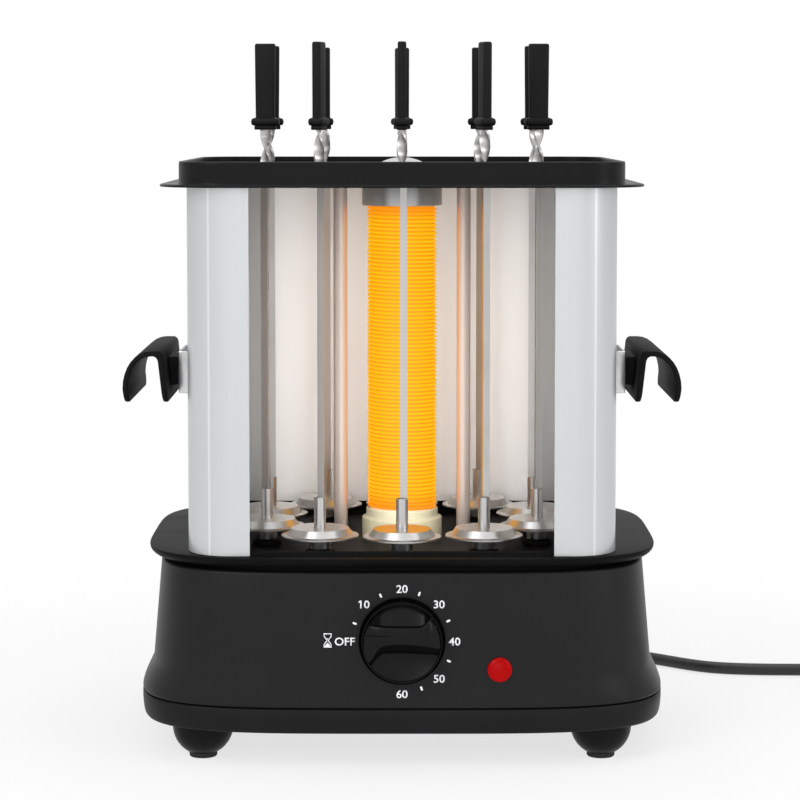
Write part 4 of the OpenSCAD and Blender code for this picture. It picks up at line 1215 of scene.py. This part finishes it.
class GRILL_OT_skewers(bpy.types.Operator):
    """Builds ten folded blades with twisted necks and their grips, and finishes the cups"""

    bl_idname = "grill.skewers"
    bl_label = "Skewers"

    def execute(self, context):
        settings = context.scene.grill_skewers
        steel = self.blade_steel((214, 212, 210))
        black = moulded("grip_plastic", seen(settings.grip), 0.5, grain=0.00003, scale=2000)
        cup = self.cup_steel(seen(settings.steel))
        for number, at, turn in zip(NUMBERS, STATIONS, TURNS):
            upright = turn_about("Z", turn, (*at, 0))
            fold = upright @ turn_about("Z", NECK_TURN)
            blade = moved(self.blade("blade_" + number, steel), fold)
            grip = moved(self.grip("grip_" + number, black, settings.bead), upright)
            for made, node, slot_name in (
                (blade, "skewer_blade_", "skewer_steel"),
                (grip, "skewer_grip_", "grip_black"),
            ):
                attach(made, "skewer_" + number)
                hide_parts(node + number)
            dress("rotor_" + number, cup)
        return {"FINISHED"}

    def blade_steel(self, color):
        f = Finish("blade_steel")
        lines = f.noise(1, 3, f.stretched(1200, 1200, 10))
        stain = f.between(f.noise(30, 5, roughness=0.62), 0.52, 0.74)
        base = rgb(color)
        tone = f.mix(base, scaled(base, 0.84), lines * 0.5)
        tone = f.mix(tone, rgb((150, 122, 96)), stain * 0.1)
        rough = 0.33 + lines * 0.08 + stain * 0.06
        return f.shade(tone, rough, Metallic=1.0, Normal=f.bump(lines, 0.000006))

    def cup_steel(self, color):
        f = Finish("cup_steel")
        brushed = f.noise(1, 3, f.stretched(700, 700, 60))
        spots = f.between(f.noise(140, 4, roughness=0.6), 0.58, 0.72)
        tone = f.mix(rgb(color), rgb((150, 132, 112)), spots * 0.16)
        rough = 0.27 + spots * 0.14 + brushed * 0.05
        return f.shade(tone, rough, Metallic=1.0, Normal=f.bump(brushed, 0.000005))

    def blade(self, name, steel):
        """A V of folded sheet that flattens into a twisted strip and a tang."""
        neck = GRIP_FOOT - NECK_LONG
        levels = [(0.1262, 0.0008, 1), (0.1285, 0.0042, 1), (0.1400, 0.0042, 1), (0.1423, 0.0054, 1)]
        levels += [(0.15 + (neck - 0.156) * k / 6, 0.0054, 1) for k in range(7)]
        levels += [(neck - 0.004, 0.0054, 0.8), (neck - 0.002, 0.0055, 0.4), (neck, 0.0057, 0)]
        levels += [(neck + NECK_LONG * k / 48, 0.0057, 0) for k in range(1, 49)]
        levels.append((GRIP_FOOT + 0.029, 0.0057, 0))
        rings = []
        for z, w, fold in levels:
            t = 0.0008 + 0.0007 * (1 - fold)
            s = t / math.sqrt(2)
            half, rise, thin = w / 2, w / 4, t / 2
            folded = [(-half, rise), (0, -rise), (half, rise)]
            folded += [(half - s, rise + s), (0, 2 * s - rise), (s - half, rise + s)]
            flat = [(-half, -thin), (0, -thin), (half, -thin), (half, thin), (0, thin), (-half, thin)]
            turn = -math.radians(NECK_TURN) * min(max((z - neck) / NECK_LONG, 0), 1)
            cos, sin = math.cos(turn), math.sin(turn)
            ring = []
            for (a, b), (c, d) in zip(folded, flat):
                x, y = c + (a - c) * fold, d + (b - d) * fold
                ring.append((x * cos - y * sin, x * sin + y * cos, z))
            rings.append(ring)
        return skin(name, rings, steel, sharp=30)

    def grip(self, name, black, bead):
        """A flat bar with soft edges over a bead and a ring."""
        h = GRIP_TOP - GRIP_FOOT
        levels = [(0, 0.0058, 0.0026, 0.0012), (0.0004, 0.0061, 0.0029, 0.0014)]
        levels += [(0.0019, 0.0061, 0.0029, 0.0014), (0.0023, 0.0059, 0.0027, 0.0013)]
        for k in range(9):
            a = math.radians(-80 + 20 * k)
            out, z = math.cos(a) ** 0.6, 0.0044 + 0.0021 * math.sin(a)
            levels.append((z, 0.006 + (bead / 2 - 0.006) * out, 0.0027 + 0.0015 * out, 0.0024))
        levels += [(0.0069, 0.0054, 0.0024, 0.0016), (0.0085, 0.0054, 0.0024, 0.0016)]
        levels += [(0.026, 0.0056, 0.0024, 0.0017), (h - 0.0012, 0.0058, 0.0024, 0.0018)]
        levels += [(h - 0.0004, 0.0056, 0.0022, 0.0017), (h, 0.0051, 0.0017, 0.0014)]
        rings = [at_height(rounded(x, y, r, 5), GRIP_FOOT + z) for z, x, y, r in levels]
        return skin(name, rings, black, sharp=50)


def dress(node, finish):
    """Gives a CAD solid its finish."""
    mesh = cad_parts[node].data
    for k in range(len(mesh.materials)):
        mesh.materials[k] = finish


# ---- works inside and plain metal parts ----


class GRILL_OT_works(bpy.types.Operator):
    """Finishes the reflectors, dome, gear plate, screws, motor and timer, whose shapes stay"""

    bl_idname = "grill.works"
    bl_label = "Works and plain metal"

    def execute(self, context):
        sheet = seen(context.scene.grill_body.sheet)
        polished = self.mirror_sheet("mirror_sheet", sheet, 0.3, 0.38)
        for side in ("left", "right"):
            dress("reflector_" + side, polished)
        dress("rear_reflector", self.mirror_sheet("rear_sheet", (243, 242, 241), 0.38, 0.12))
        dress("cover_dome", rolled_steel("dome_chrome", (214, 214, 214), 0.13, "X", grain=0.03))
        dress("gear_plate", rolled_steel("plate_steel", (172, 172, 174), 0.34, "X"))
        dress("case_screws", rolled_steel("screw_steel", (176, 174, 170), 0.3, "Z"))
        dress("gear_motor", rolled_steel("motor_steel", (168, 168, 170), 0.32, "Z"))
        dress("motor_pinion", rolled_steel("pinion_brass", (204, 164, 86), 0.28, "Z"))
        dress("timer_unit", moulded("timer_plastic", (188, 184, 172), 0.5))
        return {"FINISHED"}

    def mirror_sheet(self, name, color, rough, metal):
        """Polished sheet: rolling lines, soft upright waves, wiped haze and a painted highlight along each
        bend.
        """
        f = Finish(name)
        lines = f.noise(1, 3, f.stretched(900, 900, 5))
        waves = f.noise(1, 1, f.stretched(26, 26, 1.2))
        haze = f.between(f.noise(11, 4), 0.45, 0.8)
        bend = 0.1045
        # Painted highlight: a pale line along each bend of the sheet, where its rounded corner catches the
        # light.
        painted_bend_highlight = 1 - f.between(abs(abs(f.axis("X")) - bend), 0.0003, 0.0009)
        base = rgb(color)
        tone = f.mix(base, scaled(base, 0.94), lines * 0.5 + haze * 0.1)
        tone = f.mix(tone, (0.9, 0.9, 0.9), painted_bend_highlight * 0.3)
        rough = rough + haze * 0.05 + (lines - 0.5) * 0.05
        uneven = f.bump(waves + lines * 0.004, 0.00015)
        return f.shade(tone, rough, Metallic=metal, Normal=uneven)


# ---- shield handles and clips ----


class GRILL_OT_shield(bpy.types.Operator):
    """Softens the two handles and the clips of the heat shield"""

    bl_idname = "grill.shield"
    bl_label = "Shield handles and clips"

    def execute(self, context):
        black = moulded("handle_plastic", (12, 12, 13), 0.6, grain=0.00003, shine=0.08)
        steel = rolled_steel("fitting_steel", (222, 222, 222), 0.2, "Z", grain=0.04, metal=0.85)
        for side in ("left", "right"):
            self.softened("handle_" + side, "grip_" + side, black, 0.0008, "handle_black")
        self.softened("shield_fittings", "shield_clips", steel, 0.0007, "clip_steel")
        return {"FINISHED"}

    def softened(self, node, name, finish, width, slot_name):
        """A node's own mesh with its flat facets joined and its edges rounded."""
        solid_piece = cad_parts[node]
        made = place(name, solid_piece.data.copy(), finish)
        made.data.transform(solid_piece.matrix_world)
        mesh = bmesh.new()
        mesh.from_mesh(made.data)
        bmesh.ops.remove_doubles(mesh, verts=mesh.verts, dist=0.000005)
        bmesh.ops.dissolve_limit(mesh, angle_limit=math.radians(1.5), verts=mesh.verts, edges=mesh.edges)
        mesh.to_mesh(made.data)
        mesh.free()
        bevelled(made, width, 3, 35)
        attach(made, "shield")
        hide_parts(node)


# ---- cover ----


class GRILL_OT_cover(bpy.types.Operator):
    """Builds the plate that the skewers pass through, with its wall, brim and ten round openings"""

    bl_idname = "grill.cover"
    bl_label = "Cover"

    def execute(self, context):
        black = moulded("cover_plastic", (13, 13, 14), 0.36, grain=0.00002, wear=0.08)
        t = 0.00225
        wall_x, wall_y, wall_r = COVER_HIGH.x + t, COVER_HIGH.y + t, 0.025
        brim_x, brim_y, brim_r = RIM_HIGH.x, RIM_HIGH.y, 0.034
        low, high, under, over = RIM_LOW.z, RIM_HIGH.z, COVER_LOW.z, COVER_HIGH.z
        brim, corner_steps = 0.0015, 16
        rings = []

        def ring(z, x, y, r):
            rings.append(at_height(even(rounded(x, y, r, corner_steps)), z))

        def wall(z, inset):
            ring(z, wall_x - inset, wall_y - inset, wall_r - inset)

        def lip(z, inset):
            ring(z, brim_x - inset, brim_y - inset, brim_r - inset)

        inner = even(rounded(wall_x, wall_y, wall_r, corner_steps))
        outer = even(rounded(brim_x, brim_y, brim_r, corner_steps))

        def between(z, share):
            pairs = zip(inner, outer)
            rings.append([(a + (c - a) * share, b + (d - b) * share, z) for (a, b), (c, d) in pairs])

        wall(under, t)
        wall(low + 0.0004, t)
        wall(low, t - 0.0004)
        between(low, 0.05)
        lip(low, 0.0004)
        lip(low + 0.0004, 0)
        lip(low + brim - 0.0005, 0)
        lip(low + brim, 0.0006)
        between(low + brim, 0.16)
        between(low + brim + 0.0004, 0.05)
        between(low + brim + 0.0012, 0.0)
        wall(low + 0.006, 0)
        wall(high - 0.0018, 0)
        for inset, z in arc(0.0011, high - 0.0011, 0.0011, 165, 90, 4):
            wall(z, inset)
        wall(high, t - 0.0007)
        wall(high - 0.0003, t - 0.0001)
        wall(high - 0.0008, t)
        wall(over + 0.0012, t)
        wall(over, t + 0.0011)
        plate = skin("cover_shell", rings, black, sharp=32)
        opening, past = 0.01, 0.004
        hole = [(opening, under - past), (opening, over + past)]
        cut(plate, [turned("hole", hole, black, at, 48) for at in STATIONS])
        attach(plate, "cover")
        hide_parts("top_cover", "cover_rim")
        return {"FINISHED"}


# ---- dial ----

KNOB_Z, LENS_AT = 0.0705, (0.0528, 0.0547)


class GRILL_OT_dial(bpy.types.Operator):
    """Builds the timer knob, the print round it and the pilot lens"""

    bl_idname = "grill.dial"
    bl_label = "Timer dial"

    def execute(self, context):
        settings = context.scene.grill_dial
        self.knob()
        self.print_ring(settings)
        self.pilot(settings)
        return {"FINISHED"}

    def out_of_wall(self):
        """The knob's own frame: +Z along its axis out of the wall, +Y up."""
        a = math.radians(WALL_TILT)
        out, up = Vector((0, -math.cos(a), math.sin(a))), Vector((0, math.sin(a), math.cos(a)))
        turn = Matrix((Vector((1, 0, 0)), up, out)).transposed().to_4x4()
        return Matrix.Translation((0, front(0, KNOB_Z), KNOB_Z)) @ turn

    def knob(self):
        """A rimmed disc in a thin bezel, crossed by a ridge that flares at both ends."""
        black = moulded("knob_plastic", (12, 12, 13), 0.3, grain=0.00001, wear=0.1)
        outer, face = 0.0234, 0.0209
        profile = [(outer - 0.0004, 0.0006), (outer, 0.001), (outer, 0.0037)]
        profile += [(outer - 0.0002, 0.004), (outer - 0.0005, 0.0037), (outer - 0.0005, 0.0012)]
        profile += [(0.0219, 0.0012), (0.0219, 0.0095), (0.0216, 0.01), (0.0212, 0.01)]
        profile += [(face, 0.0096), (face, 0.008), (face - 0.0005, 0.0076)]
        disc = turned_solid("disc", profile, black, steps=96, sharp=40)
        half, rows = 0.0205, 40
        rings = [self.ridge(half * (2 * k / rows - 1), face) for k in range(rows + 1)]
        bar = skin("bar", rings, black, sharp=50)
        cut(bar, [self.pointer(black)])
        # Painted shade: a near-black finish on the bezel ring round the knob, on the rounded lower side of
        # the ridge and on its steep upper step.
        painted_shade = moulded("knob_hollow", (4, 4, 4), 0.6, grain=0.00001, shine=0.03)
        for part in (disc, bar):
            part.data.materials.append(painted_shade)
        rim, cheek_low, cheek_high = 0.0215, -0.3, 0.8
        for side in disc.data.polygons:
            side.material_index = int(side.center.xy.length > rim)
        # Faces that face well down or steeply up get the painted shade.
        for side in bar.data.polygons:
            side.material_index = int(not cheek_low < side.normal.y < cheek_high)
        made = join("timer_dial", [disc, bar])
        moved(made, self.out_of_wall())
        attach(made, "knob")
        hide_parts("timer_knob")

    def ridge(self, x, face):
        """The outline of the ridge at x: a sloping cheek, a flat top and a rounded side under it, which
        the knob darkens with painted shade.
        """
        foot, crest, floor = 0.0058, -0.0022, 0.007
        top = 0.0184 - 0.005 * (abs(x) / face) ** 4
        limit = math.sqrt(face ** 2 - x * x)

        def side(x):
            flare = 0.0056 * (max(0, x - 0.008) / 0.0075) ** 2.4
            wide = foot + 0.0011 * (min(x, 0) / 0.0188) ** 2 + flare
            narrow = crest + 8.5 * x * x + flare
            return min(wide, limit - 0.0006), min(narrow, limit - 0.0008)

        wide, narrow = side(-x)
        under = [math.radians(15 * k) for k in range(7)]
        deep, tall = narrow - wide, top - floor
        ring = [(x, deep * (math.cos(a) - 1) - wide, floor + tall * math.sin(a)) for a in under]
        wide = min(side(x)[0] + 0.0034, limit - 0.0012)
        cheek = floor + tall * 0.68
        ring += [(x, wide - 0.0009, top), (x, wide - 0.0003, top - 0.0004), (x, wide + 0.0004, cheek)]
        return [*ring, (x, limit, floor)]

    def pointer(self, black):
        """What is cut away for the pointer line on the left half of the ridge."""
        outline = [(-0.0062, 0.0177), (-0.0135, 0.0168), (-0.0206, 0.0128)]
        outline += [(-0.0206, 0.02), (-0.0062, 0.02)]
        return skin("pointer", [[(x, y, z) for x, z in outline] for y in (0.0045, 0.0049)], black)

    def number(self, words, size):
        """Bold figures as a flat mesh centred on the origin."""
        data = bpy.data.curves.new("figures", "FONT")
        data.body, data.size, data.align_x, data.align_y = words, size * 1.38, "CENTER", "CENTER"
        data.offset, data.resolution_u = size * 0.022, 4
        item = bpy.data.objects.new("figures", data)
        bpy.context.collection.objects.link(item)
        mesh = evaluated(item)
        bpy.data.objects.remove(item)
        x = [v.co.x for v in mesh.vertices]
        y = [v.co.y for v in mesh.vertices]
        if words.startswith("1"):
            right, top = min(x) + size * 0.02, max(y)
            left = right - size * 0.2
            flag = [(right, top), (left, top - size * 0.17)]
            flag += [(left, top - size * 0.34), (right, top - size * 0.2)]
            form = bmesh.new()
            form.from_mesh(mesh)
            form.faces.new([form.verts.new((*at, 0)) for at in flag])
            form.to_mesh(mesh)
            form.free()
        middle = Vector((-(min(x) + max(x)) / 2, -(min(y) + max(y)) / 2, 0))
        mesh.transform(Matrix.Diagonal((1.07, 1, 1, 1)) @ Matrix.Translation(middle))
        return mesh

    def flat(self, outline):
        mesh = bpy.data.meshes.new("mark")
        mesh.from_pydata([(x, y, 0) for x, y in outline], [], [tuple(range(len(outline)))])
        return mesh

    def print_ring(self, settings):
        """Numbers, ticks and an hourglass laid on the curved wall as one thin film."""
        f = Finish("dial_print")
        worn = f.between(f.noise(900, 4), 0.6, 0.8)
        tone = f.mix(rgb(seen(settings.print_color)), rgb((150, 150, 150)), worn * 0.4)
        white = f.shade(tone, 0.5 + worn * 0.2)
        marks, drop = [], -0.0006
        for angle, words in zip((*range(135, -91, -45), 180), ("10", "20", "30", "40", "50", "60", "OFF")):
            a = math.radians(angle)
            mesh = self.number(words, settings.digit)
            r = settings.radius + (0.0025 if words == "OFF" else 0)
            marks.append((mesh, r * math.cos(a), r * math.sin(a) + drop, 0))
        r = settings.radius - 0.001
        dash = arc(0.00065, 0, 0.00055, -90, 90, 6) + arc(-0.00065, 0, 0.00055, 90, 270, 6)
        for angle in (159, 115, 70, 24, -22.6, -67.4):
            a = math.radians(angle)
            marks.append((self.flat(dash), r * math.cos(a), r * math.sin(a) + drop, angle))
        for outline in self.hourglass():
            marks.append((self.flat(outline), -0.0402, 0, 0))
        pieces = []
        for mesh, x, y, turn in marks:
            mesh.transform(turn_about("Z", turn, (x, y, 0)))
            pieces.append(place("mark", mesh, white))
        film = join("dial_print", pieces)
        self.on_wall(film)
        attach(film, "base")

    def hourglass(self):
        """Frame, glass and sand of a small hourglass as flat outlines."""
        w, h, t = 0.0022, 0.0036, 0.00042
        bars, sides = [], []
        for s in (-1, 1):
            low, high = s * h - t / 2, s * h + t / 2
            bars.append([(-w, low), (w, low), (w, high), (-w, high)])
            wide, waist = s * (w - 0.0003), s * 0.0004
            path = [(wide, h), (wide, 0.0021), (waist, 0.0003)]
            path += [(waist, -0.0003), (wide, -0.0021), (wide, -h)]
            for (a, b), (c, d) in zip(path, path[1:]):
                way = Vector((c - a, d - b)).normalized()
                nx, ny = -way.y * t / 2, way.x * t / 2
                ex, ey = way.x * t / 4, way.y * t / 4
                start, end = (a - ex, b - ey), (c + ex, d + ey)
                corners = [(start, 1), (start, -1), (end, -1), (end, 1)]
                sides.append([(x + k * nx, y + k * ny) for (x, y), k in corners])
        foot = -h + 0.0003
        heap = [(-0.0014, foot), (0.0014, foot), (0.0014, -0.0027), (0, -0.0013), (-0.0014, -0.0027)]
        return [*bars, *sides, [(-0.0005, 0.0011), (0, 0.0005), (0.0005, 0.0011)], heap]

    def on_wall(self, film):
        """Gives the flat print a body and lays it on the front wall round the knob."""
        mesh = bmesh.new()
        mesh.from_mesh(film.data)
        bmesh.ops.triangulate(mesh, faces=mesh.faces)
        for face in mesh.faces:
            if face.normal.z < 0:
                face.normal_flip()
        made = bmesh.ops.extrude_face_region(mesh, geom=mesh.faces[:])
        lifted = {v for v in made["geom"] if isinstance(v, bmesh.types.BMVert)}
        for vert in mesh.verts:
            x, z = vert.co.x, KNOB_Z + vert.co.y * math.cos(math.radians(WALL_TILT))
            proud = 0.00025 if vert in lifted else -0.0004
            vert.co = (x, front(x, z) - proud, z)
        bmesh.ops.recalc_face_normals(mesh, faces=mesh.faces)
        in_order(mesh.verts, lambda vert: tuple(vert.co))
        in_order(mesh.faces, lambda face: tuple(face.calc_center_median()))
        mesh.to_mesh(film.data)
        mesh.free()

    def pilot(self, settings):
        """A domed red lens with a ring, lit from behind."""
        f = Finish("lens_glow")
        facets = f.noise(900, 1)
        base = rgb(seen(settings.lens))
        red = f.shade(
            f.mix(base, scaled(base, 0.7), facets),
            0.2 + facets * 0.05,
            Emission_Color=f.mix(rgb((180, 0, 0)), rgb((110, 0, 0)), facets * 0.6),
            Emission_Strength=0.42,
            Specular_IOR_Level=0.08,
        )
        r = 0.0067
        dome = [(HUB, -0.006), (0.0058, -0.006), (0.0058, 0.0001), (r - 0.0002, 0.0002), (r, 0.0005)]
        turns = [math.radians(9 * k) for k in range(1, 10)]
        dome += [(r * math.cos(a), 0.0006 + 0.0024 * math.sin(a)) for a in turns]
        lens = turned("pilot_lamp", [*dome, (HUB, 0.003)], red, steps=48, sharp=60)
        x, z = LENS_AT
        moved(lens, Matrix.Translation((0, 0, 0.0004)))
        step = 0.002
        slope = math.degrees(math.atan2(front(x + step, z) - front(x - step, z), 2 * step))
        out = turn_about("Z", slope, (x, front(x, z), z))
        moved(lens, out @ turn_about("X", 90 - WALL_TILT))
        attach(lens, "base")
        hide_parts("pilot_lens")


# ---- add-on ----


GROUPS = (GrillBody, GrillHeater, GrillSkewers, GrillDial, GrillCord)
OPERATORS = (
    GRILL_OT_stage,
    GRILL_OT_cord,
    GRILL_OT_base,
    GRILL_OT_tray,
    GRILL_OT_heater,
    GRILL_OT_works,
    GRILL_OT_skewers,
    GRILL_OT_shield,
    GRILL_OT_cover,
    GRILL_OT_dial,
)
SETTINGS = ("grill_body", "grill_heater", "grill_skewers", "grill_dial", "grill_cord")


class GRILL_PT_panel(bpy.types.Panel):
    """Lists the grill's settings and the operators that build its pieces"""

    bl_idname = "GRILL_PT_panel"
    bl_label = "Electric Skewer Grill"
    bl_space_type = "VIEW_3D"
    bl_region_type = "UI"
    bl_category = "Grill"

    def draw(self, context):
        for name in SETTINGS:
            group = getattr(context.scene, name)
            box = self.layout.box()
            for key in group.bl_rna.properties.keys():
                if key not in ("rna_type", "name"):
                    box.prop(group, key)
        for operator in OPERATORS:
            self.layout.operator(operator.bl_idname)


def register():
    for item in (*GROUPS, *OPERATORS, GRILL_PT_panel):
        bpy.utils.register_class(item)
    for name, group in zip(SETTINGS, GROUPS):
        setattr(bpy.types.Scene, name, bpy.props.PointerProperty(type=group))


def unregister():
    for name in SETTINGS:
        delattr(bpy.types.Scene, name)
    for item in reversed((*GROUPS, *OPERATORS, GRILL_PT_panel)):
        bpy.utils.unregister_class(item)


def main():
    register()
    for operator in OPERATORS:
        name = operator.bl_idname.split(".")[1]
        getattr(bpy.ops.grill, name)()


if __name__ == "__main__":
    main()
